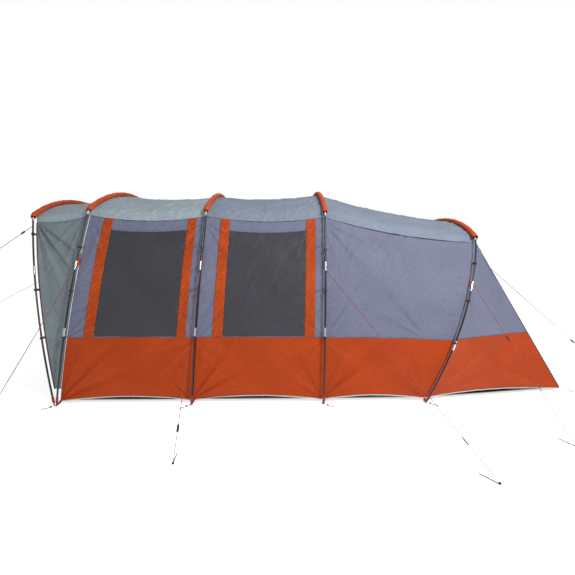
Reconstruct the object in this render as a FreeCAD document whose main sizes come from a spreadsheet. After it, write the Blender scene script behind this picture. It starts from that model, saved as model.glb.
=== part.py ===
import FreeCAD, Part
import math
import os

# Tunnel tent on five poles: four upright or leaning arches over a living space and a
# porch arch in front.  X runs from the porch (-X) to the rear (+X), Y across, Z up.
# All lengths are in millimetres; the origin is under the middle of the tent's own box.

doc = FreeCAD.newDocument("tunnel_tent")
sheet = doc.addObject("Spreadsheet::Sheet", "sizes")

SIZES = [
    ("base_width", 3000), ("roof_height", 2064), ("shoulder_height", 1777),
    ("shoulder_inset", 429), ("leg_mid_height", 1275), ("leg_mid_inset", 242),
    ("elbow_radius", 120), ("bay_one", 1162), ("bay_two", 1168), ("bay_three", 921),
    ("rear_length", 1458), ("rear_corner_inset", 264), ("porch_lean", 16.3),
    ("porch_half_width", 1485), ("porch_scale", 0.998), ("porch_roof", 2052),
    ("upright_lean", 1.0), ("fourth_lean", 2.1), ("fourth_roof", 2100),
    ("rear_lean", 23.8), ("rear_scale", 0.932), ("rear_half_width", 1486),
    ("rear_roof", 2084), ("rear_shoulder_inset", 390), ("rear_mid_inset", 82),
    ("foot_gap", 26), ("pole_radius", 8), ("ferrule_radius", 11), ("ferrule_length", 84),
    ("socket_length", 20), ("lower_ferrule", 620), ("upper_ferrule", 1220),
    ("pole_start", 85), ("sleeve_radius", 22), ("sleeve_bore", 12), ("sleeve_share", 0.32),
    ("cloth", 3), ("wall_hang", 50), ("roof_hang", 24), ("seam_gap", 1),
    ("roof_seam", 1688), ("skirt_height", 565), ("hem_height", 48),
    ("band_start", 140), ("band_width", 92), ("band_end", 90), ("window_sill", 580),
    ("window_height", 1000), ("sheet_wall", 34), ("sheet_cloth", 4), ("piping_radius", 4),
    ("porch_side_start", 130), ("door_width", 1000), ("door_straight", 1300),
    ("door_sill", 90), ("door_gap", 4), ("front_hang", 57), ("front_offset", 5),
    ("zip_width", 14), ("zip_cloth", 3), ("slider_height", 34), ("slider_width", 16),
    ("slider_thickness", 6), ("guyline_radius", 2.5), ("runner_length", 46),
    ("runner_width", 16), ("runner_thickness", 8), ("peg_radius", 3), ("peg_length", 120),
    ("foot_peg_length", 70), ("peg_head", 9), ("ring_radius", 15), ("ring_wire", 2.5),
    ("pin_radius", 5), ("cuff_radius", 10), ("strap_width", 25), ("strap_cloth", 2),
    ("clip_length", 16), ("gusset_height", 127), ("door_swing", 100),
]
for row, (alias, value) in enumerate(SIZES, 1):
    sheet.set("A%d" % row, alias)
    sheet.set("B%d" % row, str(value))
    sheet.setAlias("B%d" % row, alias)
doc.recompute()
S = {alias: float(sheet.get(alias)) for alias, value in SIZES}

V = FreeCAD.Vector
NODES = {}


def bind(obj, **links):
    """Tie the object's properties to cells of the size sheet."""
    for prop, text in links.items():
        obj.setExpression(prop, text)
    return obj


def keep(name, obj):
    """Give the object its node name and note it for export."""
    obj.Label = name
    NODES[name] = obj
    return obj


def add_shape(name, solids):
    """A node whose solids come from the arch curves below."""
    obj = doc.addObject("Part::Feature", name)
    obj.Shape = solids[0] if len(solids) == 1 else Part.makeCompound(solids)
    obj.Placement = FreeCAD.Placement()
    return keep(name, obj)


def compound(name, objs):
    """A node made of several primitives that stay separate solids."""
    obj = doc.addObject("Part::Compound", name)
    obj.Links = objs
    return keep(name, obj)


def circle_through(a, b, c):
    """Centre and radius of the circle through three flat points (u, w)."""
    d = 2 * (a[0] * (b[1] - c[1]) + b[0] * (c[1] - a[1]) + c[0] * (a[1] - b[1]))
    sa, sb, sc = (p[0] ** 2 + p[1] ** 2 for p in (a, b, c))
    u = (sa * (b[1] - c[1]) + sb * (c[1] - a[1]) + sc * (a[1] - b[1])) / d
    w = (sa * (c[0] - b[0]) + sb * (a[0] - c[0]) + sc * (b[0] - a[0])) / d
    return (u, w), math.hypot(a[0] - u, a[1] - w)


class Arch:
    """One arch in its own plane: u across from the middle, w up along the lean."""

    def __init__(self, name, x, lean, scale, half, top, insets):
        self.name = name
        self.x = x
        self.lean = math.radians(lean)
        self.scale = scale
        self.half = half
        shoulder_in, mid_in = insets
        top = top * scale
        shoulder = S["shoulder_height"] * scale
        self.inner = half - shoulder_in * scale
        mid = (half - mid_in * scale, S["leg_mid_height"] * scale)
        self.leg_c, self.leg_r = circle_through((half, 0), mid, (self.inner, shoulder))
        self.roof_c, self.roof_r = circle_through((-self.inner, shoulder), (0, top),
                                                  (self.inner, shoulder))

    def curve(self, leg_in=0.0, roof_in=0.0, bend=None):
        """Leg circle, elbow circle and roof circle moved inwards, with their touch points."""
        leg = self.leg_r - leg_in
        roof = self.roof_r - roof_in
        bend = bend or S["elbow_radius"]
        (a, b), (c, d) = self.leg_c, self.roof_c
        ra, rb = leg - bend, roof - bend
        gap = math.hypot(c - a, d - b)
        along = (ra ** 2 - rb ** 2 + gap ** 2) / (2 * gap)
        off = math.sqrt(max(ra ** 2 - along ** 2, 0.0))
        eu, ew = (c - a) / gap, (d - b) / gap
        spots = [(a + along * eu - k * off * ew, b + along * ew + k * off * eu) for k in (1, -1)]
        centre = max(spots, key=lambda p: p[0] + p[1])
        low = (a + (centre[0] - a) * leg / ra, b + (centre[1] - b) * leg / ra)
        high = (c + (centre[0] - c) * roof / rb, d + (centre[1] - d) * roof / rb)
        return {"leg": leg, "roof": roof, "bend": bend, "centre": centre,
                "low": low, "high": high, "leg_in": leg_in}

    def on_leg(self, cur, w):
        """Point of the leg circle at height w."""
        return (self.leg_c[0] + math.sqrt(cur["leg"] ** 2 - (w - self.leg_c[1]) ** 2), w)

    def on_roof(self, cur, u):
        """Point of the roof circle at distance u from the middle."""
        return (u, self.roof_c[1] + math.sqrt(cur["roof"] ** 2 - u ** 2))

    def on_bend(self, cur, share):
        """Point of the elbow circle, share 0 at the leg end and 1 at the roof end."""
        c = cur["centre"]
        a0 = math.atan2(cur["low"][1] - c[1], cur["low"][0] - c[0])
        a1 = math.atan2(cur["high"][1] - c[1], cur["high"][0] - c[0])
        ang = a0 + (a1 - a0) * share
        return (c[0] + cur["bend"] * math.cos(ang), c[1] + cur["bend"] * math.sin(ang))

    def world(self, point, side=1, dx=0.0):
        """Arch-plane point to tent axes; side 1 is far (+Y), -1 near (-Y)."""
        u, w = point
        return V(self.x + w * math.sin(self.lean) + dx, side * u, w * math.cos(self.lean))

    def normal(self):
        """Direction across the arch plane, towards the rear."""
        return V(math.cos(self.lean), 0, -math.sin(self.lean))

    def leg_height(self, z):
        """Distance w up the lean of a point z above the ground."""
        return z / math.cos(self.lean)


porch_top = S["porch_roof"] * S["porch_scale"] * math.sin(math.radians(S["porch_lean"]))
overhang = S["foot_gap"] + porch_top + S["sleeve_radius"] * math.cos(math.radians(S["porch_lean"]))
PEG_WAY = V(1, 0.6, 0).normalize()
PEG_START = 2
PEG_LIFT = 1.5
STRAP_RUN = 86
STRAP_CLEAR = 8
STRAP_RISE = 32
strap_reach = STRAP_RUN + 14 + PEG_WAY.x * (PEG_START + S["foot_peg_length"])
rear_reach = S["rear_length"] + strap_reach + PEG_WAY.y * S["peg_radius"]
total = overhang + S["bay_one"] + S["bay_two"] + S["bay_three"] + rear_reach
b_x = -total / 2 + overhang
c_x = b_x + S["bay_one"]
d_x = c_x + S["bay_two"]
e_x = d_x + S["bay_three"]
rear_x = e_x + S["rear_length"]
half_w = S["base_width"] / 2
TOP = S["roof_height"]
INSETS = (S["shoulder_inset"], S["leg_mid_inset"])
REAR_INSETS = (S["rear_shoulder_inset"], S["rear_mid_inset"])
A = Arch("a", b_x - S["foot_gap"], -S["porch_lean"], S["porch_scale"], S["porch_half_width"],
         S["porch_roof"], INSETS)
B = Arch("b", b_x, S["upright_lean"], 1.0, half_w, TOP, INSETS)
C = Arch("c", c_x, S["upright_lean"], 1.0, half_w, TOP, INSETS)
D = Arch("d", d_x, S["fourth_lean"], 1.0, half_w, S["fourth_roof"], INSETS)
E = Arch("e", e_x, S["rear_lean"], S["rear_scale"], S["rear_half_width"], S["rear_roof"],
         REAR_INSETS)
ARCHES = [A, B, C, D, E]
SIDES = [("near", -1), ("far", 1)]


def revolve_ring(arch, side, centre, start, end, outer, inner=0.0):
    """Round bar or tube bent along an arch circle from start to end."""
    c = arch.world(centre, side)
    p0, p1 = arch.world(start, side), arch.world(end, side)
    r0, r1 = p0 - c, p1 - c
    axis = r0.cross(r1)
    axis.normalize()
    tangent = axis.cross(r0)
    angle = math.degrees(r0.getAngle(r1))
    disc = Part.Face(Part.Wire(Part.makeCircle(outer, p0, tangent)))
    solid = disc.revolve(c, axis, angle)
    if inner:
        hole = Part.Face(Part.Wire(Part.makeCircle(inner, p0, tangent)))
        solid = solid.cut(hole.revolve(c, axis, angle))
    return solid


def split_at(w_list, gap):
    """Neighbouring pairs of heights with a gap between each pair."""
    return [(a + gap, b - gap) for a, b in zip(w_list[:-1], w_list[1:])]


def build_frame(arch):
    """Pole sections, ferrules and elbows of one arch, and its roof sleeve."""
    cur = arch.curve()
    gap = S["seam_gap"] / 2
    low, high = cur["low"], cur["high"]
    stations = [S["lower_ferrule"] * arch.scale, S["upper_ferrule"] * arch.scale]
    if arch.name == "a":
        stations = stations[1:]
    poles, fittings = [], []
    half_len = S["ferrule_length"] / 2
    clear = S["pole_radius"] + 0.4
    for _, side in SIDES:
        for w0, w1 in split_at([S["pole_start"]] + stations + [low[1]], gap):
            poles.append(revolve_ring(arch, side, arch.leg_c, arch.on_leg(cur, w0),
                                      arch.on_leg(cur, w1), S["pole_radius"]))
        for w in stations:
            fittings.append(revolve_ring(arch, side, arch.leg_c, arch.on_leg(cur, w - half_len),
                                         arch.on_leg(cur, w + half_len), S["ferrule_radius"], clear))
        fittings.append(revolve_ring(arch, side, cur["centre"], low, high, S["ferrule_radius"]))
        socket = S["socket_length"]
        sockets = [(arch.leg_c, arch.on_leg(cur, low[1] - socket), arch.on_leg(cur, low[1] - gap)),
                   (arch.roof_c, arch.on_roof(cur, high[0] - gap),
                    arch.on_roof(cur, high[0] - socket))]
        for centre, start, end in sockets:
            fittings.append(revolve_ring(arch, side, centre, start, end, S["ferrule_radius"], clear))
    end_u = high[0] - gap
    halves = [(end_u, gap / 2), (gap / 2, end_u)]
    for (_, side), (u0, u1) in zip(SIDES, halves):
        poles.append(revolve_ring(arch, side, arch.roof_c, arch.on_roof(cur, u0),
                                  arch.on_roof(cur, u1), S["pole_radius"]))
    add_shape("arch_%s_poles" % arch.name, poles)
    add_shape("arch_%s_fittings" % arch.name, fittings)
    u = high[0] - gap
    sleeves = [revolve_ring(arch, 1, arch.roof_c, arch.on_roof(cur, u), arch.on_roof(cur, -u),
                            S["sleeve_radius"], S["sleeve_bore"])]
    for _, side in SIDES:
        sleeves.append(revolve_ring(arch, side, cur["centre"],
                                    arch.on_bend(cur, S["sleeve_share"]), arch.on_bend(cur, 0.99),
                                    S["sleeve_radius"], S["sleeve_bore"]))
    add_shape("sleeve_%s" % arch.name, sleeves)


def arc(arch, side, dx, a, m, b):
    """Arc edge through three arch-plane points."""
    pts = [arch.world(p, side, dx) for p in (a, m, b)]
    return Part.Arc(*pts).toShape()


def leg_strip(arch, side, dx, w0, w1, hang, cloth):
    """Closed thin outline of the hanging cloth along a leg between two heights."""
    out, inn = arch.curve(hang, S["roof_hang"]), arch.curve(hang + cloth, S["roof_hang"] + cloth)
    wm = (w0 + w1) / 2
    o = [arch.on_leg(out, w) for w in (w0, wm, w1)]
    i = [arch.on_leg(inn, w) for w in (w1, wm, w0)]
    edges = [arc(arch, side, dx, *o),
             Part.makeLine(arch.world(o[2], side, dx), arch.world(i[0], side, dx)),
             arc(arch, side, dx, *i),
             Part.makeLine(arch.world(i[2], side, dx), arch.world(o[0], side, dx))]
    return Part.Wire(edges)


def roof_strip(arch, dx, seam, cloth):
    """Closed thin outline of the roof cloth from seam to seam over the ridge."""
    bend = S["elbow_radius"] * 0.75
    outer = arch.curve(S["wall_hang"], S["roof_hang"], bend)
    inner = arch.curve(S["wall_hang"] + cloth, S["roof_hang"] + cloth, bend - cloth)

    def run(cur):
        """Five arcs: leg, elbow, roof, elbow, leg."""
        lo, hi = cur["low"], cur["high"]
        a, m = arch.on_leg(cur, seam), arch.on_leg(cur, (seam + lo[1]) / 2)
        e = arch.on_bend(cur, 0.5)
        top = arch.on_roof(cur, 0.0)
        near = [(a, m, lo), (lo, e, hi)]
        edges = [arc(arch, -1, dx, *p) for p in near]
        edges.append(Part.Arc(arch.world(hi, -1, dx), arch.world(top, 1, dx),
                              arch.world(hi, 1, dx)).toShape())
        edges += [arc(arch, 1, dx, p[2], p[1], p[0]) for p in reversed(near)]
        return edges, a

    o, oa = run(outer)
    i, ia = run(inner)
    caps = [Part.makeLine(arch.world(oa, s, dx), arch.world(ia, s, dx)) for s in (1, -1)]
    return Part.Wire(o + [caps[0]] + list(reversed(i)) + [caps[1]])


def loft(w1, w2):
    """Straight-sided solid between two outlines."""
    return Part.makeLoft([w1, w2], True, True)


def seam_of(arch):
    """Height up the lean of the seam between wall and roof."""
    return S["roof_seam"] * arch.scale


BAYS = [("bc", B, C), ("cd", C, D), ("de", D, E)]
CLOTH, GAP = S["cloth"], S["seam_gap"]


def wall_strips(first, second, side, low, high):
    """Cloth of one bay side between heights low and high (functions of the arch)."""
    ends = [(first, GAP), (second, -GAP)]
    wires = [leg_strip(arch, side, dx, low(arch), high(arch), S["wall_hang"], CLOTH)
             for arch, dx in ends]
    return loft(*wires)


def prism(x0, x1, z0, z1, side):
    """Block that cuts a window or band out of a wall."""
    box = Part.makeBox(x1 - x0, half_w, z1 - z0)
    box.translate(V(x0, 0 if side > 0 else -half_w, z0))
    return box


for arch in ARCHES:
    build_frame(arch)

bands = {"near": [], "far": []}
windows = {"near": [], "far": []}
skirts = {"near": [], "far": []}
for tag, first, second in BAYS:
    gap = GAP / 2
    add_shape("roof_" + tag, [loft(roof_strip(first, GAP, seam_of(first) + gap, CLOTH),
                                   roof_strip(second, -GAP, seam_of(second) + gap, CLOTH))])
    for word, side in SIDES:
        wall = wall_strips(first, second, side, lambda a: a.leg_height(S["skirt_height"]) + gap,
                           lambda a: seam_of(a) - gap)
        skirts[word].append(wall_strips(first, second, side,
                                        lambda a: a.leg_height(S["hem_height"]),
                                        lambda a: a.leg_height(S["skirt_height"]) - gap))
        if tag != "de":
            x0, x1 = first.x + S["band_start"], second.x - S["band_end"]
            edges = [x0, x0 + S["band_width"], x1 - S["band_width"], x1]
            sill, head = S["window_sill"], S["window_sill"] + S["window_height"]
            tall = S["roof_height"]
            for left, right in (edges[:2], edges[2:]):
                bands[word].append(wall.common(prism(left + gap, right - gap, 0, tall, side)))
                wall = wall.cut(prism(left - gap, right + gap, 0, tall, side))
            pane = wall.common(prism(edges[1], edges[2], sill + gap, head - gap, side))
            windows[word] += pane.Solids
            wall = wall.cut(prism(edges[1], edges[2], sill - gap, head + gap, side))
        add_shape("wall_%s_%s" % (tag, word), wall.Solids)
for word, _ in SIDES:
    add_shape("windows_" + word, windows[word])
    add_shape("bands_" + word, [s for b in bands[word] for s in b.Solids])

# Porch: roof and two side cloths between the leaning porch arch and the front arch.
porch_low = S["porch_side_start"]
add_shape("porch_roof", [loft(roof_strip(A, GAP, seam_of(A) + GAP / 2, CLOTH),
                              roof_strip(B, -GAP, seam_of(B) + GAP / 2, CLOTH))])
for word, side in SIDES:
    add_shape("porch_side_" + word,
              [wall_strips(A, B, side, lambda a: porch_low, lambda a: seam_of(a) - GAP / 2)])

# Rear: cloth from the rear arch down to the rear edge of the base.
rear_half = half_w - S["rear_corner_inset"]
corner = (rear_x, rear_half)
out_e = E.curve(S["wall_hang"], S["roof_hang"], S["elbow_radius"] * 0.75)
shoulder = E.world(out_e["high"], 1, GAP)


def rear_edge(z, side, inset=0.0, back=0.0):
    """Point at height z on the line from the rear shoulder to the rear corner."""
    share = z / shoulder.z
    x = corner[0] + (shoulder.x - corner[0]) * share
    y = corner[1] + (shoulder.y - corner[1]) * share
    return V(x - back, side * (y - inset), z)


def rear_side(side, low, high_z, high_w):
    """Triangular side cloth between the rear arch leg and the rear edge."""
    front = leg_strip(E, side, GAP, E.leg_height(low), high_w, S["wall_hang"], CLOTH)
    z = [low, (low + high_z) / 2, high_z]
    back_room = CLOTH + GAP
    out = [rear_edge(k, side, 0, back_room) for k in z]
    inn = [rear_edge(k, side, CLOTH, back_room) for k in reversed(z)]
    back = Part.Wire([Part.makeLine(out[0], out[2]), Part.makeLine(out[2], inn[0]),
                      Part.makeLine(inn[0], inn[2]), Part.makeLine(inn[2], out[0])])
    return loft(front, back)


def rear_plate(low_z, high_z):
    """Sloping back cloth between two heights, straight across."""
    def bar(z):
        a, b = rear_edge(z, -1), rear_edge(z, 1)
        step = V(-CLOTH, 0, 0)
        return Part.makePolygon([a, b, b + step, a + step, a])
    return loft(bar(low_z), bar(high_z))


def rear_top(low_z):
    """Back cloth from the rear roof arc down to a straight line."""
    inner = E.curve(S["wall_hang"] + CLOTH, S["roof_hang"] + CLOTH, S["elbow_radius"] * 0.75 - CLOTH)
    rings = []
    for cur in (out_e, inner):
        u = out_e["high"][0] - 4
        rings.append([E.world(E.on_roof(cur, k), 1, GAP) for k in (-u, 0, u)])
    o, i = rings
    top = Part.Wire([Part.Arc(*o).toShape(), Part.makeLine(o[2], i[2]),
                     Part.Arc(i[2], i[1], i[0]).toShape(), Part.makeLine(i[0], o[0])])
    a, b = rear_edge(low_z, -1), rear_edge(low_z, 1)
    step = V(-CLOTH, 0, 0)
    base = Part.makePolygon([a, b, b + step, a + step, a])
    return loft(base, top)


seam_z = S["skirt_height"]
side_top_z = shoulder.z - 60
rear_solids = [rear_top(seam_z + GAP / 2)]
rear_skirts = [rear_plate(S["hem_height"], seam_z - GAP / 2)]
for word, side in SIDES:
    rear_solids.append(rear_side(side, seam_z + GAP / 2, side_top_z, out_e["low"][1] - 4))
    rear_skirts.append(rear_side(side, S["hem_height"], seam_z - GAP / 2,
                                 E.leg_height(seam_z - GAP / 2)))
    add_shape("skirt_" + word, skirts[word])
add_shape("rear_panel", rear_solids)
add_shape("rear_skirt", rear_skirts)

# Front wall, door and zip in the plane of the front arch.
door_half = S["door_width"] / 2


def plane_b(u, w, dx):
    """Point in the front wall's plane."""
    return B.world((u, w), 1, dx)


def slab(face, depth):
    """Flat cloth of the given depth towards the rear."""
    return face.extrude(B.normal() * depth)


def front_outline(dx):
    """Arch-shaped outline just inside the wall and roof cloth."""
    bend = S["elbow_radius"] * 0.75 - 6
    cur = B.curve(S["front_hang"], S["roof_hang"] + 8, bend)
    low_w = 6.0
    foot = B.on_leg(cur, low_w)
    lo, hi = cur["low"], cur["high"]
    mid = B.on_leg(cur, (low_w + lo[1]) / 2)
    e = B.on_bend(cur, 0.5)
    near = [arc(B, -1, dx, foot, mid, lo), arc(B, -1, dx, lo, e, hi)]
    top = Part.Arc(B.world(hi, -1, dx), B.world(B.on_roof(cur, 0.0), 1, dx),
                   B.world(hi, 1, dx)).toShape()
    far = [arc(B, 1, dx, hi, e, lo), arc(B, 1, dx, lo, mid, foot)]
    base = Part.makeLine(B.world(foot, 1, dx), B.world(foot, -1, dx))
    return Part.Wire(near + [top] + far + [base])


def door_outline(dx, grow, low_extra=0.0):
    """Door shape: straight sides and a half-round top, grown outwards by grow."""
    r = door_half + grow
    low = S["door_sill"] - grow + low_extra
    high = S["door_straight"]
    pts = [(-r, low), (-r, high), (0, high + r), (r, high), (r, low)]
    p = [plane_b(u, w, dx) for u, w in pts]
    return Part.Wire([Part.makeLine(p[0], p[1]), Part.Arc(p[1], p[2], p[3]).toShape(),
                      Part.makeLine(p[3], p[4]), Part.makeLine(p[4], p[0])])


front_dx = S["front_offset"]
wall_face = Part.Face([front_outline(front_dx), door_outline(front_dx, S["door_gap"] / 2)])
front = slab(wall_face, CLOTH)
if not front.isValid() or front.Volume < 0:
    front.fix(1e-6, 1e-6, 1e-6)
add_shape("front_wall", [front])
add_shape("front_door", [slab(Part.Face(door_outline(front_dx, -S["door_gap"] / 2)), CLOTH)])


def zip_band():
    """Zip tape up the free side of the door, over the top and down to the sewn side."""
    inner, outer = door_half + 6, door_half + 6 + S["zip_width"]
    low, high = S["door_sill"], S["door_straight"]
    dx = front_dx - S["zip_cloth"] - 0.5
    p = [plane_b(u, w, dx) for u, w in
         ((-outer, low), (-outer, high), (0, high + outer), (outer, high),
          (inner, high), (0, high + inner), (-inner, high), (-inner, low))]
    edges = [Part.makeLine(p[0], p[1]), Part.Arc(p[1], p[2], p[3]).toShape(),
             Part.makeLine(p[3], p[4]), Part.Arc(p[4], p[5], p[6]).toShape(),
             Part.makeLine(p[6], p[7]), Part.makeLine(p[7], p[0])]
    return slab(Part.Face(Part.Wire(edges)), S["zip_cloth"])


add_shape("door_zip", [zip_band()])
slider = doc.addObject("Part::Box", "zip_slider")
bind(slider, Length="sizes.slider_thickness", Width="sizes.slider_width",
     Height="sizes.slider_height")
slider_spot = plane_b(-(door_half + 6 + S["zip_width"] / 2), S["door_sill"] + 8,
                      front_dx - S["zip_cloth"] - 1.0 - S["slider_thickness"])
slider.Placement = FreeCAD.Placement(slider_spot - V(0, S["slider_width"] / 2, 0),
                                     FreeCAD.Rotation(V(0, 1, 0), S["upright_lean"]))
keep("zip_slider", slider)

# Groundsheet tray: a flat sheet with a low wall all round, from two pads of one outline.
body = doc.addObject("PartDesign::Body", "groundsheet_body")
plane = [f for f in body.Origin.OriginFeatures if f.Role == "XY_Plane"][0]


def foot_y(arch, hang):
    """Distance from the middle of the cloth at ground level."""
    return arch.on_leg(arch.curve(hang, S["roof_hang"]), 20.0)[0]


def sheet_outline(hang):
    """Corners of the groundsheet, hang inside the legs."""
    near = [(b_x + 16 + hang - S["wall_hang"], foot_y(B, hang)), (c_x, foot_y(C, hang)),
            (d_x, foot_y(D, hang)), (e_x, foot_y(E, hang)),
            (rear_x - (hang - S["wall_hang"]) - 8, rear_half - (hang - S["wall_hang"]) - 4)]
    return [(x, -y) for x, y in near] + [(x, y) for x, y in reversed(near)]


def sketch_of(name, loops):
    """Closed loops drawn in a sketch on the body's ground plane."""
    sk = body.newObject("Sketcher::SketchObject", name)
    sk.AttachmentSupport = [(plane, "")]
    sk.MapMode = "FlatFace"
    for pts in loops:
        for a, b in zip(pts, pts[1:] + pts[:1]):
            sk.addGeometry(Part.LineSegment(V(a[0], a[1], 0), V(b[0], b[1], 0)), False)
    return sk


floor_loop = sheet_outline(S["wall_hang"] + 4)
rim_loop = sheet_outline(S["wall_hang"] + 4 + S["sheet_cloth"])
floor_pad = body.newObject("PartDesign::Pad", "floor_pad")
floor_pad.Profile = sketch_of("floor_outline", [floor_loop])
bind(floor_pad, Length="sizes.sheet_cloth")
rim_pad = body.newObject("PartDesign::Pad", "rim_pad")
rim_pad.Profile = sketch_of("rim_outline", [floor_loop, rim_loop])
bind(rim_pad, Length="sizes.sheet_wall")
keep("groundsheet", body)


def bar_between(name, a, b, radius):
    """Round bar from a to b as a cylinder primitive."""
    cyl = doc.addObject("Part::Cylinder", name)
    bind(cyl, Radius=radius)
    cyl.Height = (b - a).Length
    cyl.Placement = FreeCAD.Placement(a, FreeCAD.Rotation(V(0, 0, 1), b - a))
    return cyl


def hem_point(arch, side, dx=0.0):
    """Point on the hem just under the cloth's edge at an arch."""
    cur = arch.curve(S["wall_hang"] + CLOTH / 2, S["roof_hang"])
    w = arch.leg_height(S["hem_height"]) - S["piping_radius"] - 1
    return arch.world(arch.on_leg(cur, w), side, dx)


hems = []
for word, side in SIDES:
    hem_z = S["hem_height"] - S["piping_radius"] - 1
    run = [hem_point(arch, side) for arch in (B, C, D, E)] + [rear_edge(hem_z, side, 2, 2)]
    for k, (a, b) in enumerate(zip(run[:-1], run[1:])):
        step = (b - a).normalize() * (2 + S["piping_radius"])
        hems.append(bar_between("hem_%s_%d" % (word, k), a + step, b - step, "sizes.piping_radius"))
back = [rear_edge(hem_z, s, 8, 2) for s in (-1, 1)]
hems.append(bar_between("hem_back", back[0], back[1], "sizes.piping_radius"))
compound("hem_piping", hems)

# Feet: pin and ring under each leg, webbing strap and a peg lying on the ground.
pins, straps, pegs = [], [], []


def strap_between(name, a, b):
    """Flat webbing from a to b, its width level."""
    box = doc.addObject("Part::Box", name)
    bind(box, Width="sizes.strap_width", Height="sizes.strap_cloth")
    box.Length = (b - a).Length
    turn = FreeCAD.Rotation(b - a, V(0, 0, 1).cross(b - a), V(0, 0, 1), "XYZ")
    shift = turn.multVec(V(0, -S["strap_width"] / 2, 0))
    box.Placement = FreeCAD.Placement(a + shift, turn)
    return box


def lying_peg(name, head, way, length_name):
    """Straight peg lying on the ground with a collar at its head."""
    way = V(way.x, way.y, 0).normalize()
    rise = V(0, 0, S["peg_head"])
    floor = head + V(0, 0, S["peg_radius"] + PEG_LIFT) + way * PEG_START
    rod = bar_between(name + "_rod", floor, floor + way * S[length_name], "sizes.peg_radius")
    bind(rod, Height="sizes." + length_name)
    knob = doc.addObject("Part::Sphere", name + "_head")
    bind(knob, Radius="sizes.peg_head")
    back = math.degrees(math.atan2(way.y, way.x)) + 180
    knob.Placement = FreeCAD.Placement(head + rise, FreeCAD.Rotation(V(0, 0, 1), back))
    joined = doc.addObject("Part::MultiFuse", name)
    joined.Shapes = [rod, knob]
    return joined


cuffs = []
for arch in ARCHES:
    for word, side in SIDES:
        tag = "%s_%s" % (arch.name, word)
        cur = arch.curve()
        spot = arch.world(arch.on_leg(cur, 0.0), side)
        base = V(spot.x, spot.y, 0)
        top = arch.world(arch.on_leg(cur, S["pole_start"] - GAP), side)
        step = (top - base).normalize() * 4
        pins.append(bar_between("pin_" + tag, base + step, top, "sizes.pin_radius"))
        cuffs.append(revolve_ring(arch, side, arch.leg_c, arch.on_leg(cur, 26),
                                  arch.on_leg(cur, S["pole_start"] - 5), S["cuff_radius"],
                                  S["pin_radius"] + 1.5))
        if arch is A:
            continue
        ring = doc.addObject("Part::Torus", "ring_" + tag)
        bind(ring, Radius1="sizes.ring_radius", Radius2="sizes.ring_wire")
        ring.Placement = FreeCAD.Placement(base + V(0, 0, S["ring_wire"] + 8), FreeCAD.Rotation())
        pins.append(ring)
        inner_y = side * (foot_y(arch, S["wall_hang"]) + STRAP_CLEAR)
        straps.append(strap_between("strap_" + tag, base + V(S["ring_wire"], -side * 20, 12),
                                    V(base.x + 10, inner_y, STRAP_RISE)))
        lean = -1 if arch in (B, C) else 1
        head = base + V(lean * 32, side * 26, 0)
        pegs.append(lying_peg("foot_peg_" + tag, head, V(lean, side * 0.7, 0), "foot_peg_length"))
for word, side in SIDES:
    tail = V(rear_x + STRAP_CLEAR, side * (rear_half + STRAP_CLEAR), 26)
    end = V(rear_x + STRAP_RUN, tail.y + side * 44, 9)
    straps.append(strap_between("strap_rear_" + word, tail, end))
    pegs.append(lying_peg("foot_peg_rear_" + word, V(end.x + 14, end.y + side * 9, 0),
                          V(PEG_WAY.x, side * PEG_WAY.y, 0), "foot_peg_length"))
compound("foot_pins", pins)
compound("foot_pegs", pegs)

# Pole clips: a short collar on the leg and a tape from it to the cloth edge.
CLIP_SHARES = {"a": (0.336, 0.583, 0.891), "b": (0.327, 0.554, 0.783), "c": (0.327, 0.554, 0.783),
               "d": (0.324, 0.556, 0.777), "e": (0.363, 0.604, 0.827)}
HOOK_WALL, TAPE_HALF = 4, 11
hooks, tapes, patches = [], [], []
for arch in ARCHES:
    cur = arch.curve()
    tape_start = arch.curve(S["ferrule_radius"] + HOOK_WALL + GAP, S["roof_hang"])
    tape_end = arch.curve(S["wall_hang"] - GAP, S["roof_hang"])
    for word, side in SIDES:
        for share in CLIP_SHARES[arch.name]:
            w = S["shoulder_height"] * arch.scale * share
            h = S["clip_length"] / 2
            hooks.append(revolve_ring(arch, side, arch.leg_c, arch.on_leg(cur, w - h),
                                      arch.on_leg(cur, w + h), S["ferrule_radius"] + HOOK_WALL,
                                      S["ferrule_radius"] + 0.4))
            corners = [arch.on_leg(tape_start, w - TAPE_HALF), arch.on_leg(tape_end, w - TAPE_HALF),
                       arch.on_leg(tape_end, w + TAPE_HALF), arch.on_leg(tape_start, w + TAPE_HALF)]
            thick = arch.normal() * (CLOTH / 2)
            quad = [arch.world(p, side) - thick for p in corners]
            face = Part.Face(Part.makePolygon(quad + quad[:1]))
            tapes.append(face.extrude(thick * 2))
        if arch is not A:
            w = S["upper_ferrule"] * arch.scale - 10
            thick = arch.normal() * (CLOTH / 2)
            edge = arch.curve(S["wall_hang"] - 4 * GAP, S["roof_hang"])
            tri = [arch.on_leg(tape_start, w), arch.on_leg(edge, w),
                   arch.on_leg(edge, w + S["gusset_height"])]
            tri = [arch.world(p, side) - thick for p in tri]
            face = Part.Face(Part.makePolygon(tri + tri[:1]))
            patches.append(face.extrude(thick * 2))
add_shape("clip_hooks", hooks)
tape_obj = doc.addObject("Part::Feature", "leg_tapes")
tape_obj.Shape = Part.makeCompound(tapes + cuffs)
tape_obj.Placement = FreeCAD.Placement()
compound("red_straps", straps + [tape_obj])
add_shape("guy_patches", patches)

# Guylines: start on a leg, end at a peg; each carries a runner with a bore on the line.
# Spots are distances from the leg's own foot: along the tent and outwards.
LINES = [("a", A, 1665, -3160, -975, 0.03), ("b", B, 1185, -11, 1000, 0.86),
         ("c", C, 1185, 94, 873, 0.86), ("d", D, 1185, 884, 1116, 0.86),
         ("e", E, 1174, 750, 743, 0.385)]
lines, guy_pegs, runners = [], [], {}


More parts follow.
